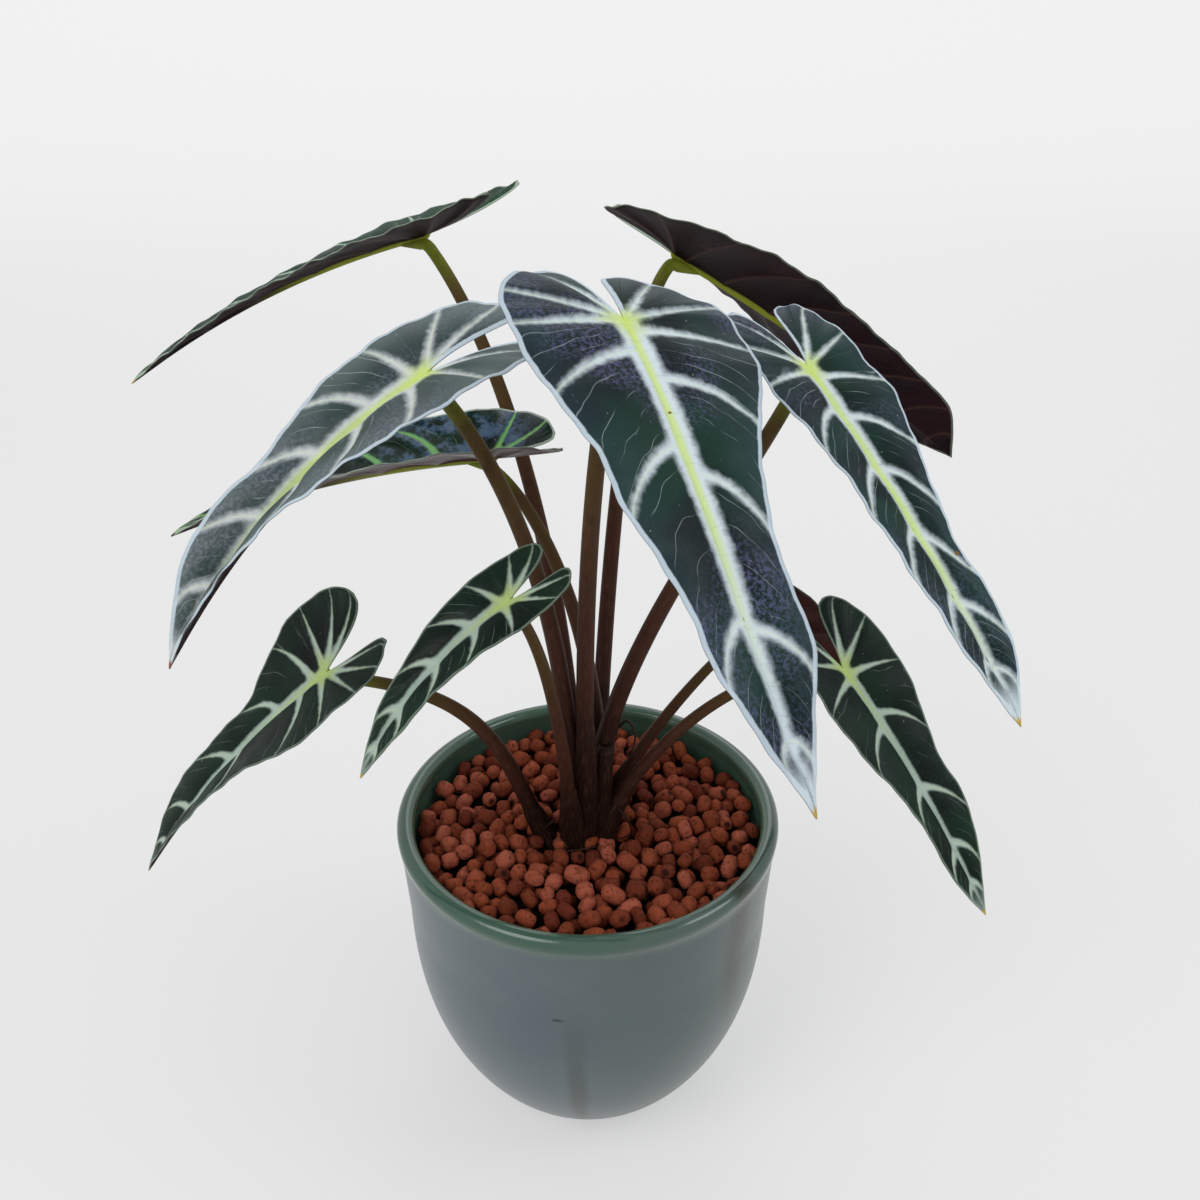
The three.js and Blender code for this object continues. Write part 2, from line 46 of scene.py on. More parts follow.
MM = 0.001
CAMERA_PLACE = (0.0048, -0.360, 0.424)
CAMERA_DOWN = 28.8
LENS = 34.5
SENSOR_WIDTH = 36.0
NEAREST_SEEN = 0.01
SWEEP_WIDTH = 9.0
SWEEP_FRONT = -3.0
SWEEP_BACK = 3.2
SWEEP_RADIUS = 1.4
SWEEP_TOP = 5.0
# The paper glows a little, and more between these two depths behind the planter.
PAPER_GREY = (150, 150, 150)
PAPER_DEPTHS = (0.2, 2.8)
PAPER_GLOW = (0.46, 0.62)
WHITE = (1.0, 1.0, 1.0, 1.0)
WORLD_TINT = (0.985, 0.99, 1.0, 1.0)
WORLD_BRIGHTNESS = 0.8
# Each light has a name, a place, the place that it points at, a size, a power in watts and a tint.
LIGHTS = [
    ("key", (-0.9, -0.9, 1.5), (0.0, 0.0, 0.25), 1.1, 13.0, (1.0, 0.985, 0.965)),
    ("window", (1.1, -0.2, 1.3), (0.0, 0.0, 0.25), 0.7, 5.0, (0.93, 0.96, 1.0)),
    ("back", (0.2, 1.2, 1.2), (0.0, 0.0, 0.28), 0.8, 2.5, (0.96, 0.98, 1.0)),
]

scene = bpy.context.scene
camera_data = bpy.data.cameras.new("camera")
camera_data.lens = LENS
camera_data.sensor_width = SENSOR_WIDTH
camera_data.clip_start = NEAREST_SEEN
camera = bpy.data.objects.new("camera", camera_data)
camera.location = CAMERA_PLACE
camera.rotation_euler = (math.radians(90 - CAMERA_DOWN), 0, 0)
scene.collection.objects.link(camera)
scene.camera = camera
scene.view_settings.view_transform = "Standard"

for label, place, target, size, power, tint in LIGHTS:
    lamp_data = bpy.data.lights.new(label, "AREA")
    lamp_data.shape = "DISK"
    lamp_data.size = size
    lamp_data.energy = power
    lamp_data.color = tint
    lamp = bpy.data.objects.new(label, lamp_data)
    aim = np.array(target) - np.array(place)
    lamp.location = place
    down = math.atan2(math.hypot(aim[0], aim[1]), -aim[2])
    lamp.rotation_euler = (down, 0, math.atan2(aim[1], aim[0]) - math.pi / 2)
    scene.collection.objects.link(lamp)

world = bpy.data.worlds.new("studio")
world.use_nodes = True
background = world.node_tree.nodes["Background"].inputs
background["Color"].default_value = WORLD_TINT
background["Strength"].default_value = WORLD_BRIGHTNESS
scene.world = world


def srgb(red, green, blue):
    """Linear colour of a screen colour given as 0 to 255: the standard two-part curve."""
    shares = np.array([red, green, blue]) / 255
    linear = np.where(shares <= 0.04045, shares / 12.92, ((shares + 0.055) / 1.055) ** 2.4)
    return (*linear.tolist(), 1.0)


def grid_faces(rows, columns, start=0, wrap=False):
    """Quads of a grid of vertices stored row by row; wrap joins the last column to the first."""
    across = columns if wrap else columns - 1
    i, j = np.meshgrid(np.arange(rows - 1), np.arange(across), indexing="ij")
    k = (j + 1) % columns
    quads = [i * columns + j, i * columns + k, (i + 1) * columns + k, (i + 1) * columns + j]
    return np.stack(quads).reshape(4, -1).T + start


WELD_DISTANCE = 2e-6


def new_piece(name, vertices, faces, material, attributes=None):
    """A smooth mesh object at the origin, from vertices in millimetres, with values per vertex.

    Vertices at the same place become one, which closes seams and poles.
    """
    mesh = bpy.data.meshes.new(name)
    mesh.from_pydata((np.asarray(vertices) * MM).tolist(), [], np.asarray(faces).tolist())
    for label, values in (attributes or {}).items():
        values = np.asarray(values, dtype=np.float32)
        kind = "FLOAT" if values.ndim == 1 else "FLOAT_VECTOR"
        layer = mesh.attributes.new(label, kind, "POINT")
        layer.data.foreach_set("value" if values.ndim == 1 else "vector", values.ravel())
    welded = bmesh.new()
    welded.from_mesh(mesh)
    bmesh.ops.remove_doubles(welded, verts=welded.verts, dist=WELD_DISTANCE)
    welded.to_mesh(mesh)
    welded.free()
    mesh.polygons.foreach_set("use_smooth", np.ones(len(mesh.polygons), dtype=bool))
    mesh.materials.append(material)
    mesh.update()
    piece = bpy.data.objects.new(name, mesh)
    scene.collection.objects.link(piece)
    return piece


class Value:
    """A number, place or colour worked out by a material's nodes. Arithmetic on it adds nodes."""

    def __init__(self, socket):
        self.socket = socket
        self.tree = socket.id_data

    def __add__(self, other):
        return calc("ADD", self, other)

    def __sub__(self, other):
        return calc("SUBTRACT", self, other)

    def __mul__(self, other):
        return calc("MULTIPLY", self, other)

    def __truediv__(self, other):
        return calc("DIVIDE", self, other)

    def __pow__(self, other):
        return calc("POWER", self, other)

    def __abs__(self):
        return calc("ABSOLUTE", self)


def fill(node, inputs):
    """Links or fills a node's inputs, which are given by name or place."""
    for key, value in inputs.items():
        if isinstance(value, Value):
            value.tree.links.new(value.socket, node.inputs[key])
        else:
            node.inputs[key].default_value = value


def add_node(tree, kind, settings=None, inputs=None, output=0):
    """Adds a node, sets its options, links or fills its inputs, and gives what it works out."""
    made = tree.nodes.new(kind)
    for key, value in (settings or {}).items():
        setattr(made, key, value)
    fill(made, inputs or {})
    return Value(made.outputs[output])


def calc(operation, a, b=0.0):
    """One step of arithmetic on a value and, where it takes two, another value or a number."""
    return add_node(a.tree, "ShaderNodeMath", {"operation": operation}, {0: a, 1: b})


def step(value, low, high, start=0.0, end=1.0):
    """Goes smoothly from start, at low, to end, at high, and is level beyond. Low may be larger."""
    ends = (low, high, start, end) if low < high else (high, low, end, start)
    names = ("From Min", "From Max", "To Min", "To Max")
    inputs = {"Value": value, **dict(zip(names, ends))}
    return add_node(value.tree, "ShaderNodeMapRange", {"interpolation_type": "SMOOTHSTEP"}, inputs)


def parts(vector):
    """The three numbers of a place or another vector."""
    parted = vector.tree.nodes.new("ShaderNodeSeparateXYZ")
    fill(parted, {0: vector})
    return [Value(socket) for socket in parted.outputs]


def object_place(tree):
    """The place on the piece in metres, whole and as three numbers."""
    place = add_node(tree, "ShaderNodeTexCoord", output="Object")
    return place, *parts(place)


def new_material(name):
    """A material, its node tree and its Principled shader."""
    material = bpy.data.materials.new(name)
    material.use_nodes = True
    return material, material.node_tree, material.node_tree.nodes["Principled BSDF"]


sweep_angles = np.linspace(0, math.pi / 2, 24)
sweep_y = SWEEP_BACK - SWEEP_RADIUS + SWEEP_RADIUS * np.sin(sweep_angles)
sweep_z = SWEEP_RADIUS - SWEEP_RADIUS * np.cos(sweep_angles)
sweep_y = np.concatenate([[SWEEP_FRONT], sweep_y, [SWEEP_BACK]])
sweep_z = np.concatenate([[0], sweep_z, [SWEEP_TOP]])
sweep_x = np.tile([-SWEEP_WIDTH / 2, SWEEP_WIDTH / 2], len(sweep_y))
sweep_vertices = np.stack([sweep_x, np.repeat(sweep_y, 2), np.repeat(sweep_z, 2)], axis=1)
paper, tree, shader = new_material("paper")
_, _, behind, _ = object_place(tree)
fill(shader, {
    "Base Color": srgb(*PAPER_GREY),
    "Roughness": 1.0,
    "Specular IOR Level": 0.0,
    "Emission Color": WHITE,
    "Emission Strength": step(behind, *PAPER_DEPTHS, *PAPER_GLOW),
})
new_piece("sweep", sweep_vertices / MM, grid_faces(len(sweep_y), 2), paper)


# Planter: one turned and slip-cast cup with a rounded lip, dipped in a grey-green glaze. The glaze
# is greener where it pools under the lip and inside. A dark streak down the front is a painted
# reflection, and another dark streak is painted at the right.

POT_HEIGHT = 134.0
LIP_RADIUS = 75.0
LIP_DEPTH = 7.0
LIP_PROUD = 0.9
SHOULDER_HEIGHT = 96.0
SHOULDER_RADIUS = 72.4
BASE_RADIUS = 40.0
BASE_EDGE = 1.6
BASE_RING = 4.0
BOWL_RISE = 2.5
BOWL_SPREAD = 1.14
WALL = 5.0
FLOOR = 7.0
LIP_EASE = (0.25, 1.0)
BOWL_FIRST_ROW = 0.13
POT_AROUND = 192


def wall_radius(z):
    """Outside radius at height z: a bowl up to the shoulder, then nearly straight to the lip."""
    z = np.asarray(z, dtype=float)
    straight = (z - SHOULDER_HEIGHT) / (POT_HEIGHT - LIP_DEPTH - SHOULDER_HEIGHT)
    upper = SHOULDER_RADIUS + straight * (LIP_RADIUS - LIP_PROUD - SHOULDER_RADIUS)
    bowl = 1 - np.clip(1 - z / SHOULDER_HEIGHT, 0, 1) ** BOWL_RISE
    lower = BASE_RADIUS + (SHOULDER_RADIUS - BASE_RADIUS) * bowl ** (1 / BOWL_SPREAD)
    return np.where(z >= SHOULDER_HEIGHT, upper, lower)


def arc(centre_radius, centre_height, radius, start, end, steps):
    """Points of radius and height round a circle, between two angles in degrees."""
    angle = np.radians(np.linspace(start, end, steps))
    points = [centre_radius + radius * np.cos(angle), centre_height + radius * np.sin(angle)]
    return np.stack(points, axis=1)


def angles_round(count):
    """Angles of points that are spaced evenly round a full circle."""
    return np.linspace(0, 2 * math.pi, count, endpoint=False)


def turned(profile, around, start=0):
    """Vertices and quads of a profile of radius and height turned about the vertical axis."""
    angle = angles_round(around)
    x = profile[:, 0, None] * np.cos(angle)
    y = profile[:, 0, None] * np.sin(angle)
    z = np.repeat(profile[:, 1, None], around, axis=1)
    vertices = np.stack([x, y, z], axis=-1).reshape(-1, 3)
    return vertices, grid_faces(len(profile), around, start, wrap=True)


lip_middle = LIP_RADIUS - LIP_PROUD - WALL / 2
lip_half = LIP_RADIUS - lip_middle
lip_bottom = POT_HEIGHT - LIP_DEPTH
bowl_heights = SHOULDER_HEIGHT * np.linspace(BOWL_FIRST_ROW, 1, 60) ** 2
outer_heights = np.concatenate([bowl_heights, np.linspace(SHOULDER_HEIGHT, lip_bottom, 10)[1:]])
inner_heights = np.linspace(lip_bottom, FLOOR, 40)
pot_profile = np.concatenate([
    [[0, 0], [BASE_RADIUS - BASE_EDGE - BASE_RING, 0]],
    arc(BASE_RADIUS - BASE_EDGE, BASE_EDGE, BASE_EDGE, -90, -20, 7),
    np.stack([wall_radius(outer_heights), outer_heights], axis=1),
    [[LIP_RADIUS - LIP_EASE[0], lip_bottom + LIP_EASE[1]]],
    arc(lip_middle, POT_HEIGHT - lip_half, lip_half, 0, 180, 22),
    np.stack([wall_radius(inner_heights) - WALL, inner_heights], axis=1),
    [[0, FLOOR]],
])


def mix(factor, a, b, amount=1.0):
    """Colour a where the factor is 0, and colour b, by the amount, where it is 1."""
    if amount != 1.0:
        factor = factor * amount
    inputs = {0: factor, 6: a, 7: b}
    return add_node(factor.tree, "ShaderNodeMix", {"data_type": "RGBA"}, inputs, 2)


def noise(place, scale, detail=3.0, roughness=0.55):
    """Soft random values from 0 to 1, with as many waves to one unit of the place as the scale."""
    inputs = {"Vector": place, "Scale": scale, "Detail": detail, "Roughness": roughness}
    return add_node(place.tree, "ShaderNodeTexNoise", None, inputs)


def from_spot(place, spot):
    """Distance of the place from one fixed spot."""
    settings = {"operation": "DISTANCE"}
    return add_node(place.tree, "ShaderNodeVectorMath", settings, {0: place, 1: spot}, "Value")


def bump(height, strength, distance):
    """Tilts the surface as if its height were the value times the distance in metres."""
    inputs = {"Height": height, "Strength": strength, "Distance": distance}
    return add_node(height.tree, "ShaderNodeBump", None, inputs)


# The glaze's colours, and the heights, radii and places in metres where they start and are full.
GLAZE_DARK = srgb(72, 86, 92)
GLAZE_LIGHT = srgb(82, 94, 98)
GLAZE_POOLED = srgb(48, 80, 62)
POOLED_HEIGHTS = (0.122, 0.131)
GLAZE_GREENER = srgb(68, 84, 78)
GREENER_SIDE = (-0.022, 0.036)
GLAZE_INSIDE = srgb(66, 92, 76)
INSIDE_RADII = (0.0712, 0.0700)
INSIDE_HEIGHTS = (0.105, 0.110)
GLOSSY_HEIGHTS = (0.124, 0.13)
GLAZE_FLECK = srgb(60, 70, 66)

# Each painted dark streak has its turn from the front to the left, the angles off its middle and
# the heights between which it fades in, its colour and its strength. The one down the front is a
# painted reflection.
PAINTED_DARK_STREAKS = [
    (0.05, (0.085, 0.02), (0.11, 0.02), srgb(44, 52, 40), 0.85),
    (-0.86, (0.12, 0.02), (0.055, 0.11), srgb(46, 44, 34), 0.75),
]
STREAK_WANDER = 0.12

# A small chip in the glaze is wider than high, so places are squeezed before its size is taken, and
# its spot is a squeezed one.
CHIP_COLOUR = srgb(52, 56, 58)
CHIP_SQUEEZE = (0.55, 0.55, 1.4)
CHIP_SPOT = (-0.0058, -0.0397, 0.1309)
CHIP_SIZE = (0.0021, 0.0016)
CHIP_RAGGED = 0.0016

glaze, tree, shader = new_material("glaze")
place, x, y, z = object_place(tree)
cloud = noise(place, 14.0, 4.0, 0.6)
colour = mix(step(cloud, 0.3, 0.7), GLAZE_DARK, GLAZE_LIGHT)
colour = mix(step(z, *POOLED_HEIGHTS), colour, GLAZE_POOLED, 0.9)
colour = mix(step(x, *GREENER_SIDE), colour, GLAZE_GREENER, 0.75)
turn = calc("ARCTAN2", x, y * -1.0)
wobble = (noise(place, 22.0, 2.0) - 0.5) * STREAK_WANDER
# Dark streaks painted down the glaze: the one down the front is a painted reflection.
for to_left, angles, heights, tint, amount in PAINTED_DARK_STREAKS:
    run = step(abs(turn + (wobble + to_left)), *angles) * step(z, *heights)
    colour = mix(run, colour, tint, amount)
inside = step(calc("SQRT", x ** 2.0 + y ** 2.0), *INSIDE_RADII) * step(z, *INSIDE_HEIGHTS)
colour = mix(inside, colour, GLAZE_INSIDE)
squeezed = add_node(tree, "ShaderNodeVectorMath", {"operation": "MULTIPLY"}, {0: place, 1: CHIP_SQUEEZE})
chip = step(from_spot(squeezed, CHIP_SPOT) + noise(place, 700.0) * CHIP_RAGGED, *CHIP_SIZE)
colour = mix(chip, colour, CHIP_COLOUR)
colour = mix(step(noise(place, 900.0, 2.0, 0.7), 0.66, 0.74), colour, GLAZE_FLECK, 0.12)
fill(shader, {
    "Base Color": colour,
    "Roughness": cloud * 0.12 + 0.3 - step(z, *GLOSSY_HEIGHTS) * 0.2 + chip * 0.4,
    "Specular IOR Level": 0.4,
    "Coat Weight": 0.2,
    "Coat Roughness": 0.12,
    "Normal": bump(noise(place, 260.0, 2.0), 0.12, 0.0006),
})

planter = new_piece("planter", *turned(pot_profile, POT_AROUND), glaze)
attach(planter, "root")
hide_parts("pot")


# Clay granules: some hundreds of short pellets of baked clay, cut from a rod and tumbled, so that
# their ends are rounded and often pitted. They lie loose on each other, on a bed of the same clay.

BED_HEIGHT = 115.0
BED_GAP = 0.4
PILE_REACH = 68.6
PILE_CELL = 0.6
PILE_TOP = 123.6
# A place where a pellet would lie too high counts as this high from then on.
PILE_FULL = 120.6
PELLET_TRIES = 9000
PELLET_CHOICES = 24
# A pellet rests on what is under this share of its outline, and keeps this share of its height.
PELLET_SOLE = 0.85
PELLET_NESTLE = 0.92
PELLET_TILT = 0.9
PELLET_LUMPS = (0.07, 0.05)
PELLET_AROUND = 9
PELLET_RADIUS = (2.6, 3.6)
PELLET_LENGTH = (1.05, 1.5)
PELLET_SHAPE = np.array([
    (0, -0.84), (0.42, -0.97), (0.8, -0.8), (0.99, -0.36), (1, 0.3), (0.84, 0.77), (0.45, 0.98), (0, 0.86),
])
CROWN_MIDDLE = np.array([-2.0, -1.0])
CROWN_KEEP = np.array([9.5, 6.0])

chance = np.random.default_rng(12)


def pile_pellets():
    """Places of pellets that are dropped one by one where the pile is lowest.

    The pile is a grid of heights. Each pellet is an ellipsoid: it comes down until it meets the
    pile, sinks a little between what it lies on, and raises the pile to its own upper surface. One
    that would lie too high, or among the stalks, is left out.
    """
    side = np.arange(-PILE_REACH - 4, PILE_REACH + 4, PILE_CELL)
    grid_x, grid_y = np.meshgrid(side, side, indexing="ij")
    pile = np.full(grid_x.shape, BED_HEIGHT)
    placed = []
    for _ in range(PELLET_TRIES):
        half_width = chance.uniform(*PELLET_RADIUS)
        half_length = half_width * chance.uniform(*PELLET_LENGTH)
        away = (PILE_REACH - half_length) * np.sqrt(chance.uniform(0, 1, PELLET_CHOICES))
        angle = chance.uniform(0, 2 * math.pi, PELLET_CHOICES)
        tries = np.stack([away * np.cos(angle), away * np.sin(angle)])
        cells = np.round((tries - side[0]) / PILE_CELL).astype(int)
        lowest = np.argmin(pile[cells[0], cells[1]])
        x, y = tries[:, lowest]
        i, j = cells[:, lowest]
        if np.hypot(*((tries[:, lowest] - CROWN_MIDDLE) / CROWN_KEEP)) < 1:
            pile[i, j] = PILE_TOP
            continue
        heading = chance.uniform(0, math.pi)
        reach = int(half_length / PILE_CELL) + 1
        window = (slice(max(i - reach, 0), i + reach + 1), slice(max(j - reach, 0), j + reach + 1))
        off_x, off_y = grid_x[window] - x, grid_y[window] - y
        along = (off_x * math.cos(heading) + off_y * math.sin(heading)) / half_length
        aside = (off_y * math.cos(heading) - off_x * math.sin(heading)) / half_width
        under = along ** 2 + aside ** 2
        dome = half_width * np.sqrt(np.clip(1 - under, 0, None))
        rest = np.max(np.where(under < PELLET_SOLE, pile[window] + PELLET_NESTLE * dome, 0))
        if rest > PILE_TOP:
            pile[i, j] = max(pile[i, j], PILE_FULL)
            continue
        pile[window] = np.where(under < 1, np.maximum(pile[window], rest + dome), pile[window])
        placed.append((x, y, rest, half_length, half_width, heading))
    return np.array(placed)


def turning(angle, fixed):
    """Rotations about one axis, 0 for X, 1 for Y or 2 for Z, by an array of angles."""
    turns = np.zeros((len(angle), 3, 3))
    first, second = (fixed + 1) % 3, (fixed + 2) % 3
    turns[:, fixed, fixed] = 1
    turns[:, first, first] = np.cos(angle)
    turns[:, second, second] = np.cos(angle)
    turns[:, first, second] = -np.sin(angle)
    turns[:, second, first] = np.sin(angle)
    return turns


pellets = pile_pellets()
count = len(pellets)
angle = np.tile(angles_round(PELLET_AROUND), len(PELLET_SHAPE))
ring_share = np.repeat(PELLET_SHAPE[:, 0], PELLET_AROUND)
ring_place = np.repeat(PELLET_SHAPE[:, 1], PELLET_AROUND)
phase = chance.uniform(0, 6, (2, count, 1))
lumps = 1 + PELLET_LUMPS[0] * np.sin(2 * angle + phase[0])
lumps = lumps + PELLET_LUMPS[1] * np.sin(3 * angle + 4 * ring_place + phase[1])
across = ring_share * lumps * pellets[:, 4, None]
pellet_shapes = np.stack([
    ring_place * pellets[:, 3, None], np.cos(angle) * across, np.sin(angle) * across,
], axis=-1)
turns = turning(pellets[:, 5], 2)
turns = turns @ turning(chance.uniform(-PELLET_TILT, PELLET_TILT, count), 1)
turns = turns @ turning(chance.uniform(0, 2 * math.pi, count), 0)
pellet_vertices = np.einsum("nij,nvj->nvi", turns, pellet_shapes) + pellets[:, None, :3]
in_one = len(angle)
one_pellet = grid_faces(len(PELLET_SHAPE), PELLET_AROUND, wrap=True)
pellet_faces = (one_pellet + np.arange(count)[:, None, None] * in_one).reshape(-1, 4)
# How strongly the pits in each pellet's ends are painted dark as shade, from 0 to 1.
pit_shade_depth = np.tile(np.abs(ring_place) * (1 - ring_share), count)
pit_shade_depth *= np.repeat(chance.uniform(0, 1, count) ** 2, in_one)

bed_heights = np.linspace(FLOOR + BED_GAP, BED_HEIGHT, 24)
bed_profile = np.concatenate([
    [[0, FLOOR + BED_GAP]],
    np.stack([wall_radius(bed_heights) - WALL - BED_GAP, bed_heights], axis=1),
    [[0, BED_HEIGHT]],
])
bed_vertices, bed_faces = turned(bed_profile, 96, start=count * in_one)
bed_blank = np.zeros(len(bed_vertices))
tint = np.concatenate([np.repeat(chance.uniform(0, 1, count), in_one), bed_blank])
pit_shade_values = np.concatenate([pit_shade_depth, bed_blank])


def stored(tree, name, output="Vector"):
    """A vector stored on the mesh or, where the output is Fac, a number."""
    return add_node(tree, "ShaderNodeAttribute", {"attribute_name": name}, output=output)


CLAY_DARK = srgb(96, 40, 26)
CLAY_ORANGE = srgb(138, 66, 42)
CLAY_PINK = srgb(162, 86, 66)
CLAY_PATCH = srgb(116, 58, 28)
CLAY_GRAIN = srgb(66, 28, 20)
CLAY_PORE = srgb(70, 30, 20)
# The pits in the pellets' ends are painted this dark as their shade.
PAINTED_PIT_SHADE = srgb(34, 14, 11)
# Below these heights the clay, and the bed with it, is painted nearly black as the shade deep between the
# pellets.
SHADE_BETWEEN_PELLETS = srgb(16, 8, 6)
SHADED_HEIGHTS = (0.1205, 0.1150)

clay, tree, shader = new_material("baked_clay")
place, _, _, z = object_place(tree)
shade, pit_shade, _ = parts(stored(tree, "clay"))
grain = noise(place, 1500.0, 4.0, 0.65)
patch = noise(place, 260.0)
pore = step(noise(place, 620.0, 2.0, 0.6), 0.58, 0.68)
colour = mix(step(shade, 0.0, 0.55), CLAY_DARK, CLAY_ORANGE)
colour = mix(step(shade, 0.55, 1.0), colour, CLAY_PINK)
colour = mix(step(patch, 0.45, 0.75), colour, CLAY_PATCH, 0.6)
colour = mix(step(grain, 0.5, 0.75), colour, CLAY_GRAIN, 0.5)
colour = mix(pore, colour, CLAY_PORE, 0.6)
# Painted shade in the pits at the pellets' ends.
colour = mix(step(pit_shade, 0.25, 0.6), colour, PAINTED_PIT_SHADE, 0.9)
# Painted shade: lower down, between the pellets and on the bed, the clay is nearly black.
colour = mix(step(z, *SHADED_HEIGHTS), colour, SHADE_BETWEEN_PELLETS, 0.97)
fill(shader, {
    "Base Color": colour,
    "Roughness": 0.82,
    "Specular IOR Level": 0.12,
    "Normal": bump(grain * 0.6 + patch - pore * 0.6, 0.9, 0.0006),
})

granules = new_piece(
    "granules",
    np.concatenate([pellet_vertices.reshape(-1, 3), bed_vertices]),
    np.concatenate([pellet_faces, bed_faces]),
    clay,
    {"clay": np.stack([tint, pit_shade_values, 0 * tint], axis=1)},
)
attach(granules, "root")
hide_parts("clay_granules")


# Leaves: ten arrowhead leaves, each one thin blade on one stalk. These are their sizes and places,
# in millimetres and degrees, as they grow from the crown.

BLADE_THICKNESS = 0.8
KEEL_DEPTH = 1.2
STALK_GAP = 0.4
STALK_FOOT = 112.0
FOOT_RADIUS = 5.2
RIB_SLANT = 0.15
RIB_SLANT_START = 0.07
RIB_BEND = 1.75
MIDRIB_STEPS = 240

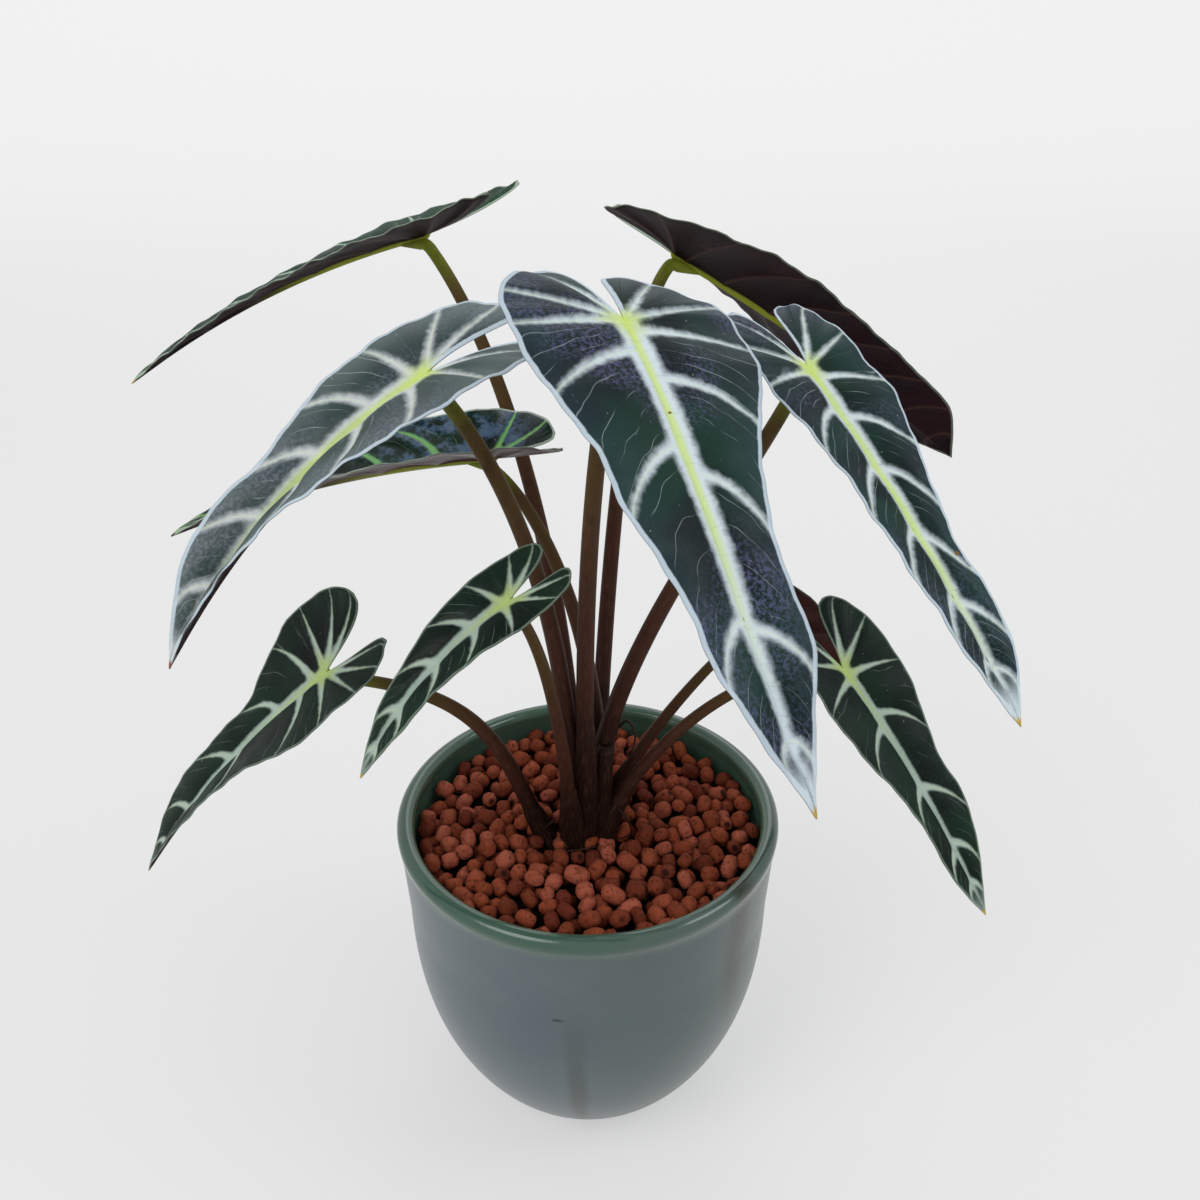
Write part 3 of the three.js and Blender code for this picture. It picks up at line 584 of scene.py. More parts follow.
# joint is where the stalk meets the blade, length runs from there to the tip, and lobe is the reach
# behind it. heading, sweep and hook aim the midrib, rise and droop bend it, and lift bends the
# lobes. roll and twist turn the blade, and fold and curl raise its halves. left and right are
# half-widths at every seventh of the length. lobe_tip says how far out each lobe's tip is, as a
# share of the half-width at the joint, and lobe_reach how much of the lobe's length it has. The
# stalk curves from foot by low and high to the joint; clasp is the share of it that its sheath
# covers, and stalk is its radius above the sheath and at the joint. ribs are the rows of the side
# ribs in the left and the right half: 0 is at the joint, 1 at the tip, and -1 along the lobe's
# inner edge.
LEAVES = [
    SimpleNamespace(
        joint=(-58, 65, 340), length=139, lobe=36, heading=167, sweep=10, hook=2,
        rise=-16, droop=20, lift=-16, roll=1, twist=-5, fold=(14, 11), curl=-1,
        left=(27, 25.5, 21.5, 18.5, 15, 12, 7.5), right=(27, 25.5, 21.5, 17.5, 15, 12, 8),
        lobe_tip=(0.52, 0.48), lobe_reach=(1, 1),
        foot=(-5, 6), low=(-3, 23, 192), high=(-24, 50, 294), clasp=0.24, stalk=(3.2, 2.1),
        ribs=((-0.7, -0.3, 0.03, 0.16, 0.33, 0.52, 0.7, 0.86),
              (-0.7, -0.3, 0.04, 0.18, 0.36, 0.55, 0.73, 0.88)),
    ),
    SimpleNamespace(
        joint=(-45, -40, 322), length=112, lobe=34, heading=208, sweep=14, hook=-7,
        rise=-25, droop=30, lift=24, roll=-9, twist=3, fold=(13, 51), curl=-11,
        left=(23, 23.5, 21.5, 19.5, 11.5, 8, 5), right=(24.5, 22, 18, 13.5, 14.5, 13.5, 7.5),
        lobe_tip=(0.51, 0.47), lobe_reach=(1, 1),
        foot=(-7, -1), low=(-3, -14, 189), high=(-12, -32, 276), clasp=0.31, stalk=(3.2, 2.2),
        ribs=((-0.65, -0.2, 0.06, 0.22, 0.42, 0.64, 0.82),
              (-0.7, -0.3, 0.03, 0.16, 0.34, 0.55, 0.76)),
    ),
    SimpleNamespace(
        joint=(11, -64, 344), length=136, lobe=24, heading=-64, sweep=-23, hook=36,
        rise=-30, droop=25, lift=23, roll=-9, twist=6, fold=(1, 16), curl=-8,
        left=(37, 34, 24, 17.5, 15, 15.5, 8), right=(33, 31, 24.5, 22, 16, 14, 8),
        lobe_tip=(0.1, 0.36), lobe_reach=(0.84, 1),
        foot=(0, -4), low=(-2, -15, 194), high=(0, -42, 292), clasp=0.29, stalk=(3.2, 2.3),
        ribs=((-0.72, -0.24, 0.03, 0.15, 0.36, 0.66, 0.86),
              (-0.8, -0.38, 0.0, 0.08, 0.3, 0.64, 0.86)),
    ),
    SimpleNamespace(
        joint=(67, -24, 319), length=122, lobe=30, heading=-60, sweep=0, hook=-3,
        rise=-30, droop=10, lift=23, roll=-1, twist=1, fold=(10, 18), curl=-2,
        left=(19, 20.5, 16.5, 12.5, 9.5, 10.5, 8), right=(21, 19, 15, 13.5, 12, 9.5, 6.5),
        lobe_tip=(0.49, 0.47), lobe_reach=(1, 0.95),
        foot=(5, 0), low=(-8, -3, 184), high=(49, -14, 269), clasp=0.3, stalk=(3.4, 2.2),
        ribs=((-0.6, -0.18, 0.04, 0.17, 0.33, 0.52, 0.7, 0.86),
              (-0.7, -0.25, 0.02, 0.14, 0.32, 0.5, 0.68, 0.84)),
    ),
    SimpleNamespace(
        joint=(32, 64, 333), length=145, lobe=29, heading=-3, sweep=21, hook=0,
        rise=-30, droop=11, lift=10, roll=-17, twist=-35, fold=(13, 19), curl=-3,
        left=(38, 36.5, 31.5, 26, 21.5, 17, 11), right=(39, 38, 32.5, 25.5, 21, 17.5, 14),
        lobe_tip=(0.51, 0.53), lobe_reach=(1, 1),
        foot=(2, 5), low=(6, 20, 188), high=(11, 48, 312), clasp=0.25, stalk=(3.2, 2.2),
        ribs=2 * [(-0.7, -0.3, 0.03, 0.14, 0.28, 0.44, 0.6, 0.76, 0.89)],
    ),
    SimpleNamespace(
        joint=(-32, 8, 277), length=114, lobe=23, heading=188, sweep=-3, hook=0,
        rise=-1, droop=22, lift=1, roll=3, twist=0, fold=(22, 22), curl=6,
        left=(24.5, 23.5, 20.5, 17.5, 14, 11, 7), right=(25, 24.5, 20.5, 17, 14, 11, 7),
        lobe_tip=(0.51, 0.45), lobe_reach=(1, 1),
        foot=(-2, 1), low=(15, 2, 167), high=(-8, 6, 253), clasp=0.38, stalk=(2.9, 1.9),
        ribs=2 * [(-0.7, -0.3, 0.03, 0.16, 0.33, 0.52, 0.7, 0.86)],
    ),
    SimpleNamespace(
        joint=(-87, -34, 217), length=104, lobe=26, heading=192, sweep=-5, hook=2,
        rise=-37, droop=20, lift=-13, roll=-22, twist=19, fold=(16, 22), curl=-1,
        left=(22, 26.5, 20.5, 15, 12.5, 10, 6.5), right=(26, 20.5, 12.5, 12, 12.5, 12.5, 7.5),
        lobe_tip=(0.49, 0.51), lobe_reach=(1, 1),
        foot=(-13, -2), low=(-33, -6, 156), high=(-27, -19, 200), clasp=0.2, stalk=(3.2, 2),
        ribs=((-0.85, -0.55, -0.25, 0.02, 0.11, 0.4, 0.62, 0.82),
              (-0.85, -0.55, -0.1, 0.05, 0.21, 0.45, 0.7, 0.86)),
    ),
    SimpleNamespace(
        joint=(-22, -62, 260), length=69, lobe=19, heading=213, sweep=0, hook=2,
        rise=-21, droop=38, lift=-15, roll=-12, twist=0, fold=(13, 15), curl=-3,
        left=(14, 13, 11, 9, 8, 6.5, 4), right=(13.5, 13, 11.5, 9.5, 7.5, 6, 3),
        lobe_tip=(0.5, 0.53), lobe_reach=(1, 1),
        foot=(-5, -8), low=(-7, -16, 163), high=(-11, -40, 231), clasp=0.27, stalk=(2.6, 1.6),
        ribs=2 * [(-0.75, -0.35, 0.04, 0.2, 0.42, 0.66, 0.85)],
    ),
    SimpleNamespace(
        joint=(91, -14, 206), length=98, lobe=25, heading=-46, sweep=1, hook=-2,
        rise=-38, droop=15, lift=5, roll=8, twist=5, fold=(15, 16), curl=-1,
        left=(20.5, 19.5, 16, 12.5, 13, 10.5, 5.5), right=(20, 20, 18, 13.5, 9.5, 8.5, 6.5),
        lobe_tip=(0.5, 0.46), lobe_reach=(1, 1),
        foot=(7, -4), low=(1, -6, 138), high=(48, -7, 210), clasp=0.36, stalk=(2.5, 1.7),
        ribs=((-0.75, -0.3, 0.03, 0.2, 0.5, 0.72, 0.87),
              (-0.75, -0.25, 0.05, 0.25, 0.5, 0.75, 0.88)),
    ),
    SimpleNamespace(
        joint=(69, 22, 209), length=84, lobe=21, heading=3, sweep=0, hook=0,
        rise=-38, droop=14, lift=5, roll=-40, twist=-5, fold=(17, 15), curl=5,
        left=(18, 17.5, 15, 12.5, 10.5, 8, 5), right=(19.5, 18, 15.5, 12.5, 10.5, 8, 5),
        lobe_tip=(0.5, 0.53), lobe_reach=(1, 1),
        foot=(7, 3), low=(-2, 4, 131), high=(46, 14, 195), clasp=0.4, stalk=(2.4, 1.6),
        ribs=2 * [(-0.75, -0.35, 0.04, 0.2, 0.42, 0.66, 0.85)],
    ),
]


def midrib_turn(leaf, t):
    """Heading and rise of the midrib at fractions t of its length, in radians.

    The heading changes by sweep times t and, ahead of the joint, hook times t squared. The rise falls
    by droop times t ahead of the joint, and grows by lift times the share of the lobe behind it.
    """
    ahead = np.maximum(t, 0)
    back = np.maximum(-t, 0) * leaf.length / leaf.lobe
    yaw = np.radians(leaf.heading + leaf.sweep * t + leaf.hook * ahead ** 2)
    pitch = np.radians(leaf.rise - leaf.droop * ahead + leaf.lift * back)
    return yaw, pitch


def midrib_direction(leaf, t):
    """Unit direction of the midrib, from its heading and rise."""
    yaw, pitch = midrib_turn(leaf, t)
    return np.stack([np.cos(pitch) * np.cos(yaw), np.cos(pitch) * np.sin(yaw), np.sin(pitch)], axis=-1)


def midrib_point(leaf, t):
    """Points of the midrib: its directions summed in small steps from the joint, both ways."""
    steps = MIDRIB_STEPS
    known_t, known = [], []
    for end in (-leaf.lobe / leaf.length, 1.0):
        middles = end * (np.arange(steps) + 0.5) / steps
        path = np.cumsum(midrib_direction(leaf, middles) * end * leaf.length / steps, axis=0)
        known_t.append(np.linspace(0, end, steps + 1))
        known.append(np.concatenate([np.zeros((1, 3)), path]))
    all_t = np.concatenate([known_t[0][::-1], known_t[1][1:]])
    all_points = np.concatenate([known[0][::-1], known[1][1:]])
    found = [np.interp(t, all_t, all_points[:, axis]) for axis in range(3)]
    return np.stack(found, axis=-1) + np.array(leaf.joint)


def blade_frame(leaf, t):
    """Directions at fractions t: across to the leaf's left, and up from its upper side.

    Both are square to the midrib, and turned about it from level by roll plus twist times t.
    """
    yaw, _ = midrib_turn(leaf, t)
    level = np.stack([-np.sin(yaw), np.cos(yaw), 0 * yaw], axis=-1)
    above = np.cross(midrib_direction(leaf, t), level)
    roll = np.radians(leaf.roll + leaf.twist * t)[..., None]
    across = level * np.cos(roll) + above * np.sin(roll)
    return across, above * np.cos(roll) - level * np.sin(roll)


# Stalks: round, juicy stems a few millimetres thick, dark maroon below, olive higher up and green
# at the top, with fine lines along them. Each grows on into its blade's midrib, underneath.

STALK_AROUND = 18
STALK_ROWS = 80
STALK_COVERED = 0.8
STALK_END = 0.985
ELBOW_START = 0.02
ELBOW_REACH = 0.09
ELBOW_END_RADIUS = 0.2
ELBOW_ROWS = 14
BEND_ROWS = 10
BEND_PULL = 2.2


def bezier(points, t):
    """Cubic curve from the first point to the last, pulled by the two between."""
    a, b, c, d = (np.array(point, dtype=float) for point in points)
    t = np.asarray(t)[:, None]
    return a * (1 - t) ** 3 + 3 * b * t * (1 - t) ** 2 + 3 * c * t ** 2 * (1 - t) + d * t ** 3


def stalk_path(leaf, t):
    """The stalk's curve from its foot in the crown to just below the joint."""
    _, up = blade_frame(leaf, np.zeros(1))
    drop = BLADE_THICKNESS / 2 + KEEL_DEPTH + STALK_GAP + leaf.stalk[1]
    top = np.array(leaf.joint) - up[0] * drop
    return bezier([(*leaf.foot, STALK_FOOT), leaf.low, leaf.high, top], t)


def stalk_radius(leaf, t):
    """Radius along the stalk: thick where it clasps the crown, then tapering to the joint."""
    lower, upper = leaf.stalk
    clasp = leaf.clasp
    foot = FOOT_RADIUS + (lower - FOOT_RADIUS) * np.clip(t / clasp, 0, 1) ** 0.7
    return np.where(t <= clasp, foot, lower + (upper - lower) * (t - clasp) / (1 - clasp))


def tube(path, radius, around, start=0):
    """A round closed skin along a path, with one radius per point or one per point and angle.

    The directions square to the path are carried along it, so that the skin doesn't twist.
    """
    along = np.gradient(path, axis=0)
    along /= np.linalg.norm(along, axis=1, keepdims=True)
    first = np.zeros_like(path)
    side = np.array([1.0, 0.0, 0.0])
    for k, direction in enumerate(along):
        side = side - direction * (side @ direction)
        side /= np.linalg.norm(side)
        first[k] = side
    second = np.cross(along, first)
    angle = angles_round(around)
    radius = np.broadcast_to(np.asarray(radius, dtype=float).reshape(len(path), -1), (len(path), around))
    skin = first[:, None] * np.cos(angle)[:, None] + second[:, None] * np.sin(angle)[:, None]
    skin = path[:, None] + radius[..., None] * skin
    low_end = np.repeat(path[:1, None], around, axis=1)
    high_end = np.repeat(path[-1:, None], around, axis=1)
    skin = np.concatenate([low_end, skin, high_end])
    return skin.reshape(-1, 3), grid_faces(len(path) + 2, around, start, wrap=True)


def stem_values(path, around, climb):
    """Values on a tube: how far up it is, from 0 to 1, and its place on an unrolled stem.

    The place has no seam: it goes round a circle, and slowly up with the path's length.
    """
    run = np.concatenate([[0], np.cumsum(np.linalg.norm(np.diff(path, axis=0), axis=1))])
    rows = np.concatenate([[0], np.arange(len(path)), [len(path) - 1]])
    angle = np.tile(angles_round(around), len(rows))
    unrolled = [np.cos(angle), np.sin(angle), np.repeat(run[rows], around) * 0.03]
    return {"climb": np.repeat(climb[rows], around), "unrolled": np.stack(unrolled, axis=1)}


STALK_MAROON = srgb(30, 16, 13)
STALK_BROWN = srgb(62, 34, 24)
STALK_OLIVE = srgb(72, 56, 24)
STALK_GREEN = srgb(112, 124, 32)
STALK_LINE = srgb(98, 66, 46)
STALK_MOTTLE = srgb(34, 18, 16)

stalk_skin, tree, shader = new_material("stalk_skin")
place, *_ = object_place(tree)
climb = stored(tree, "climb", "Fac")
lines = noise(stored(tree, "unrolled"), 5.5, 3.0, 0.6)
colour = mix(step(climb, 0.1, 0.45), STALK_MAROON, STALK_BROWN)
colour = mix(step(climb, 0.45, 0.85), colour, STALK_OLIVE)
colour = mix(step(climb, 0.88, 1.0), colour, STALK_GREEN)
colour = mix(step(lines, 0.45, 0.75), colour, STALK_LINE, 0.4)
colour = mix(step(noise(place, 160.0), 0.5, 0.75), colour, STALK_MOTTLE, 0.35)
fill(shader, {
    "Base Color": colour,
    "Roughness": lines * 0.2 + 0.42,
    "Specular IOR Level": 0.12,
    "Normal": bump(lines, 0.35, 0.0003),
})

for number, leaf in enumerate(LEAVES, start=1):
    lower_t = np.linspace(leaf.clasp * STALK_COVERED, STALK_END, STALK_ROWS)
    lower = stalk_path(leaf, lower_t)
    elbow_t = np.linspace(ELBOW_START, ELBOW_REACH, ELBOW_ROWS)
    elbow_share = (elbow_t - elbow_t[0]) / (elbow_t[-1] - elbow_t[0])
    elbow_radius = ELBOW_END_RADIUS + leaf.stalk[1] * (1 - elbow_share) ** 0.9
    _, elbow_up = blade_frame(leaf, elbow_t)
    elbow = midrib_point(leaf, elbow_t) - elbow_up * (elbow_radius + 0.1)[:, None]
    leaving = lower[-1] - lower[-2]
    leaving *= BEND_PULL / np.linalg.norm(leaving)
    arriving = elbow[1] - elbow[0]
    arriving *= BEND_PULL / np.linalg.norm(arriving)
    bend = [lower[-1], lower[-1] + leaving, elbow[0] - arriving, elbow[0]]
    bend = bezier(bend, np.linspace(0, 1, BEND_ROWS + 2)[1:-1])
    path = np.concatenate([lower, bend, elbow])
    bend_radius = np.full(BEND_ROWS, leaf.stalk[1] + 0.05)
    radius = [stalk_radius(leaf, lower_t), bend_radius, elbow_radius]
    climb = np.concatenate([lower_t, np.linspace(STALK_END, 1, BEND_ROWS + ELBOW_ROWS)])
    stem = new_piece(
        f"leaf_stalk_{number}",
        *tube(path, np.concatenate(radius), STALK_AROUND),
        stalk_skin,
        stem_values(path, STALK_AROUND, climb),
    )
    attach(stem, "root")
    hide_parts(f"stalk_{number}")


# Crown: the short corm, half buried in the granules, with the flattened sheaths that clasp each
# stalk's foot, the cut stub of an old stalk and a few thin dry roots in the air.

CORM_BOTTOM = 92.6
CORM_TOP = 120.0
CORM_HALF = (18.4, 14.4)
CORM_CENTRE = (-3, -1)
SHEATH_THICKNESS = 0.45
SHEATH_SPREAD = 0.35
SHEATH_LENGTH = 1.12
SHEATH_ROWS = 70
SHEATH_AROUND = 24
SHEATH_SLANT = 0.2
STUB_FOOT = (5, -5, 114)
STUB_TOP = (7, -9, 168)
STUB_RADIUS = 3.2
STUB_ROWS = 30
ROOT_RADII = (0.55, 0.3)
ROOTS = [
    [(-6, -8, 128), (-9, -15, 124), (-6, -19, 126.5), (1, -18, 127), (4, -14, 124)],
    [(9, -6, 140), (15, -11, 136), (17, -10, 128), (13, -8, 123)],
    [(-13, -5, 130), (-19, -8, 127), (-22, -4, 124)],
    [(11, -3, 172), (15, -6, 178), (18, -6, 171), (16, -5, 160)],
]

corm_profile = np.array([
    (0, CORM_BOTTOM), (0.55, CORM_BOTTOM + 1), (0.9, CORM_BOTTOM + 7), (1, CORM_BOTTOM + 14),
    (0.95, CORM_TOP - 5), (0.75, CORM_TOP - 1), (0.4, CORM_TOP), (0, CORM_TOP),
])
corm_vertices, corm_faces = turned(corm_profile, 48)
corm_vertices = corm_vertices * (*CORM_HALF, 1) + (*CORM_CENTRE, 0)
crown_vertices = [corm_vertices]
crown_faces = [corm_faces]
crown_values = [{"climb": np.zeros(len(corm_vertices)), "unrolled": corm_vertices * 0.06}]


def add_to_crown(path, radius, around, climb):
    """Adds one tube to the crown's vertices, faces and values."""
    vertices, faces = tube(path, radius, around, start=sum(map(len, crown_vertices)))
    crown_vertices.append(vertices)
    crown_faces.append(faces)
    crown_values.append(stem_values(path, around, climb))


for number, leaf in enumerate(LEAVES):
    clasp_t = np.linspace(0, leaf.clasp * SHEATH_LENGTH, SHEATH_ROWS)
    path = stalk_path(leaf, clasp_t)
    angle = angles_round(SHEATH_AROUND)
    slant = SHEATH_SLANT * (0.5 + 0.5 * np.cos(angle - 1.3 * number))
    end = leaf.clasp * (0.98 - slant)
    covered = np.clip((end - clasp_t[:, None]) / (0.04 * leaf.clasp), 0, 1) ** 0.5
    radius = stalk_radius(leaf, clasp_t)[:, None] + 0.03 + SHEATH_THICKNESS * covered
    radius[-6:] -= np.linspace(0, 0.5, 6)[:, None]
    facing = math.atan2(leaf.foot[1] - CORM_CENTRE[1], leaf.foot[0] - CORM_CENTRE[0])
    low_down = np.clip(1 - clasp_t[:, None] / (0.9 * leaf.clasp), 0, 1)
    radius *= 1 + SHEATH_SPREAD * low_down * np.sin(angle - facing) ** 2
    add_to_crown(path, radius, SHEATH_AROUND, clasp_t * 0.8)

stub_share = np.concatenate([np.linspace(0, 1, STUB_ROWS), [1.0, 0.985]])
stub_path = np.array(STUB_FOOT) + stub_share[:, None] * (np.array(STUB_TOP) - np.array(STUB_FOOT))
stub_path[-2:] += [[0, 0, 0.02], [0, 0, 0.04]]
stub_radius = STUB_RADIUS * np.concatenate([np.ones(STUB_ROWS), [0.8, 0.3]])
add_to_crown(stub_path, stub_radius, 20, np.full(len(stub_path), 0.05))


def smooth_path(points, steps):
    """A curve through the points: between two, each axis bends by the points on either side."""
    points = np.array([points[0], *points, points[-1]], dtype=float)
    spans = []
    for k in range(len(points) - 3):
        before, start, end, after = points[k:k + 4]
        pulls = [start, start + (end - before) / 6, end - (after - start) / 6, end]
        spans.append(bezier(pulls, np.linspace(0, 1, steps, endpoint=False)))
    return np.concatenate([*spans, points[-1:]])


for points in ROOTS:
    path = smooth_path(points, 8)
    add_to_crown(path, np.linspace(*ROOT_RADII, len(path)), 7, np.zeros(len(path)))

crown_piece = new_piece(
    "crown_sheaths",
    np.concatenate(crown_vertices),
    np.concatenate(crown_faces),
    stalk_skin,
    {label: np.concatenate([values[label] for values in crown_values]) for label in crown_values[0]},
)
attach(crown_piece, "root")
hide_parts("crown")


# Blades: thin leathery leaves with a pale midrib and side ribs, sunk on top and raised below. The
# blade bulges between the ribs, its margin waves a little, and a keel runs under the midrib.

ROW_SPACING = 0.9
BLADE_COLUMNS = 40
COLUMN_CROWDING = 1.35
LINE_POINTS = 30
LOBE_ROWS = 0.45
NEAR_TIP = 0.8
PAST_RIB_END = 3.0
SOFT_JOIN = 0.5
# The blade thins within EDGE_REACH of its edge, and stays thick within JOINT_REACH of the joint. The
# keel's half-width is the first value at the tip, and both together at the joint. The bulge is full
# where two ribs are BULGE_GAP apart.
EDGE_THICKNESS = 0.3
EDGE_REACH = 2.0
JOINT_REACH = 5.0
CREASE_HALF = 1.5
RIB_SINK = 0.35
RIB_HALF = 1.1
UNDER_RIB_HEIGHT = 0.3
CHANNEL_DEPTH = 0.5
CHANNEL_HALF = 1.3
KEEL_HALF = (0.5, 1.3)
BULGE = 0.8
BULGE_GAP = 18.0


def half_width(widths, t):
    """Cubic curve through half-widths at every seventh, level at the joint and 0 at the tip."""
    values = np.array([widths[1], *widths, 0.0, -widths[-1]])
    x = np.clip(t, 0, 1) * len(widths)
    i = np.minimum(x.astype(int), len(widths) - 1)
    f = x - i
    slope_a = (values[i + 2] - values[i]) / 2
    slope_b = (values[i + 3] - values[i + 1]) / 2
    start = values[i + 1] * (2 * f ** 3 - 3 * f ** 2 + 1) + slope_a * (f ** 3 - 2 * f ** 2 + f)
    return start + values[i + 2] * (3 * f ** 2 - 2 * f ** 3) + slope_b * (f ** 3 - f ** 2)


def half_plane(leaf, side, row, share):
    """Flat place of a point of one half: x along the midrib and y out from it, in millimetres.

    Rows above 0 leave the midrib and slant to the margin. Rows below 0 fan out from the joint over
    the lobe: they are its outer edge scaled down to the joint, bent by the square of the row so
    that the last one runs along the lobe's inner edge. The outer edge is an arch with a rounded
    shoulder, and the inner edge leaves the joint along the midrib and turns out to the lobe's tip.
    """
    widths = leaf.left if side > 0 else leaf.right
    tip = leaf.lobe_tip[0 if side > 0 else 1]
    reach = leaf.lobe_reach[0 if side > 0 else 1] * leaf.lobe
    fan = np.clip(-row, 0, 1)
    q = np.sin(fan * math.pi / 2)
    outer = tip + (1 - tip) * np.maximum(1 - q ** 2.6, 0) ** (1 / 1.9)
    inner = tip * (0.55 * share ** 0.8 + 0.45 * (1 - np.maximum(1 - share ** 5, 0) ** (1 / 2.2)))
    fan_x = -reach * share * q
    fan_y = widths[0] * (share * outer + fan ** 2 * (inner - share * tip))
    ahead = np.clip(row, 0, 1)
    slant = RIB_SLANT * (1 - np.exp(-ahead / RIB_SLANT_START)) * (1 - ahead ** 4)
    t = ahead + slant * share ** RIB_BEND
    behind = row < 0
    x = np.where(behind, fan_x, t * leaf.length)
    return x, np.where(behind, fan_y, share * half_width(widths, t))


def away_from(x, y, line_x, line_y):
    """Distance from points to a line of short straight parts, and how far along it, 0 to 1."""
    nearest = np.full(x.shape, np.inf)
    along = np.zeros(x.shape)
    spans = len(line_x) - 1
    for k in range(spans):
        run_x, run_y = line_x[k + 1] - line_x[k], line_y[k + 1] - line_y[k]
        length = max(run_x ** 2 + run_y ** 2, 1e-12)
        share = np.clip(((x - line_x[k]) * run_x + (y - line_y[k]) * run_y) / length, 0, 1)
        away = np.hypot(x - line_x[k] - share * run_x, y - line_y[k] - share * run_y)
        closer = away < nearest
        nearest = np.where(closer, away, nearest)
        along = np.where(closer, (k + share) / spans, along)
    return nearest, along


def blade_half(leaf, look, side):
    """Vertices, faces and values of one half of a blade, top and underside.

    A grid of rows, and of shares of the way from the midrib to the margin, gives flat places. Each
    goes to its place beside the midrib, raised by the fold. From there it moves along the surface's
    normal by the bulge and the wave, and by half the thickness, less the rib's sink on top, or with
    the keel and the rib's height below. The values kept for the surface are the distance from the
    ribs' pale bands, from the ribs' middles and from the edge, the place between two ribs, their
    gap, the share, and the flat place with 1 for the underside.
    """
    ribs = leaf.ribs[0 if side > 0 else 1]
    stops = sorted({-1.0, *ribs, 0.0, 1.0})
    rows = [np.array([-1.0])]
    for low, high in zip(stops, stops[1:]):
        span = (high - low) * leaf.length * (1 if low >= 0 else LOBE_ROWS)
        rows.append(np.linspace(low, high, max(int(span / ROW_SPACING), 2) + 1)[1:])
    rows = np.concatenate(rows)
    shares = np.linspace(0, 1, BLADE_COLUMNS) ** COLUMN_CROWDING
    row, share = np.meshgrid(rows, shares, indexing="ij")
    x, y = half_plane(leaf, side, row, share)

    bands = []
    centre = np.full(x.shape, np.inf)
    line_shares = np.linspace(0, 1, LINE_POINTS)
    for rib in ribs:
        line_x, line_y = half_plane(leaf, side, np.full(LINE_POINTS, rib), line_shares)
        away, along = away_from(x, y, line_x, line_y)
        taper = np.clip(1 - along / look.rib_reach, 0, 1) ** look.rib_taper
        small = look.rib_small if rib < 0 or rib > NEAR_TIP else 1.0
        half = look.rib_width * small * taper + look.rib_end * (along < look.rib_reach)
        bands.append(away - half)
        centre = np.minimum(centre, away + PAST_RIB_END * (along > look.rib_reach))
    from_midrib = np.where(x > 0, y, np.hypot(x, y))
    fraction = np.clip(x / leaf.length, 0, 1)
    midrib_half = look.midrib_width * (1 - fraction) ** look.midrib_taper + look.midrib_end
    bands.append(from_midrib - midrib_half)
    bands = np.array(bands)
    least = bands.min(axis=0)
    band = least - SOFT_JOIN * np.log(np.exp(-(bands - least) / SOFT_JOIN).sum(axis=0))

    edge_x, edge_y = half_plane(leaf, side, rows, np.ones(len(rows)))
    inner_x, inner_y = half_plane(leaf, side, np.full(LINE_POINTS, -1.0), line_shares)
    edge, _ = away_from(x, y, np.concatenate([inner_x, edge_x]), np.concatenate([inner_y, edge_y]))

    posts = np.array([-1.0, *ribs, 1.0])
    between = np.interp(row, posts, np.arange(len(posts)))
    post_x, post_y = half_plane(leaf, side, *np.meshgrid(posts, shares, indexing="ij"))
    gaps = np.hypot(np.diff(post_x, axis=0), np.diff(post_y, axis=0))
    which = np.minimum(between.astype(int), len(posts) - 2)
    gap = gaps[which, np.arange(BLADE_COLUMNS)[None]]

    t = x / leaf.length
    across, up = blade_frame(leaf, t)
    widest = max(leaf.left[0], leaf.right[0])
    fold = leaf.fold[0] + (leaf.fold[1] - leaf.fold[0]) * np.maximum(t, 0)
    raised = np.radians(fold + leaf.curl * y / (2 * widest))[..., None]
    reach = y[..., None]
    middle = midrib_point(leaf, t) + side * across * reach * np.cos(raised) + up * reach * np.sin(raised)
    raised = raised * np.clip(reach / CREASE_HALF, 0, 1)
    normal = up * np.cos(raised) - side * across * np.sin(raised)

    near_joint = np.exp(-np.hypot(x, y) / JOINT_REACH)
    swell = np.sin(math.pi * (between - which)) * np.clip(gap / BULGE_GAP, 0, 1)
    relief = BULGE * look.bulge * swell * np.sin(math.pi * share ** 0.8)
    run = np.where(row < 0, row * leaf.lobe * 1.3, x)
    wave = np.sin(run * 2 * math.pi / look.wave_length + look.wave_start * (2 + side))
    wave += 0.5 * np.sin(run * 2 * math.pi / (look.wave_length * 0.43) + 2 * side)
    relief += look.wave * wave * share ** 2.2 * (1 - near_joint) * (1 - fraction) ** 0.3
    thin = 1 - np.exp(-np.maximum(edge, 0) / EDGE_REACH)
    thick = np.maximum(thin, near_joint)
    half = (EDGE_THICKNESS + (BLADE_THICKNESS - EDGE_THICKNESS) * thick) / 2
    rib_line = np.exp(-(centre / RIB_HALF) ** 2) * thin
    channel = CHANNEL_DEPTH * np.exp(-(from_midrib / CHANNEL_HALF) ** 2)
    channel = channel * (1 - fraction) * (1 - near_joint)
    sink = np.maximum(RIB_SINK * look.sink * rib_line, channel)
    keel_half = KEEL_HALF[0] + KEEL_HALF[1] * (1 - fraction)
    keel = np.sqrt(np.clip(1 - (from_midrib / keel_half) ** 2, 0, 1))
    keel = KEEL_DEPTH * (1 - fraction) ** 0.7 * keel
    keel = np.maximum(keel, UNDER_RIB_HEIGHT * rib_line * (1 - share * 0.6))
    top = middle + normal * (relief + half - sink)[..., None]
    under = middle + normal * (relief - half - keel)[..., None]

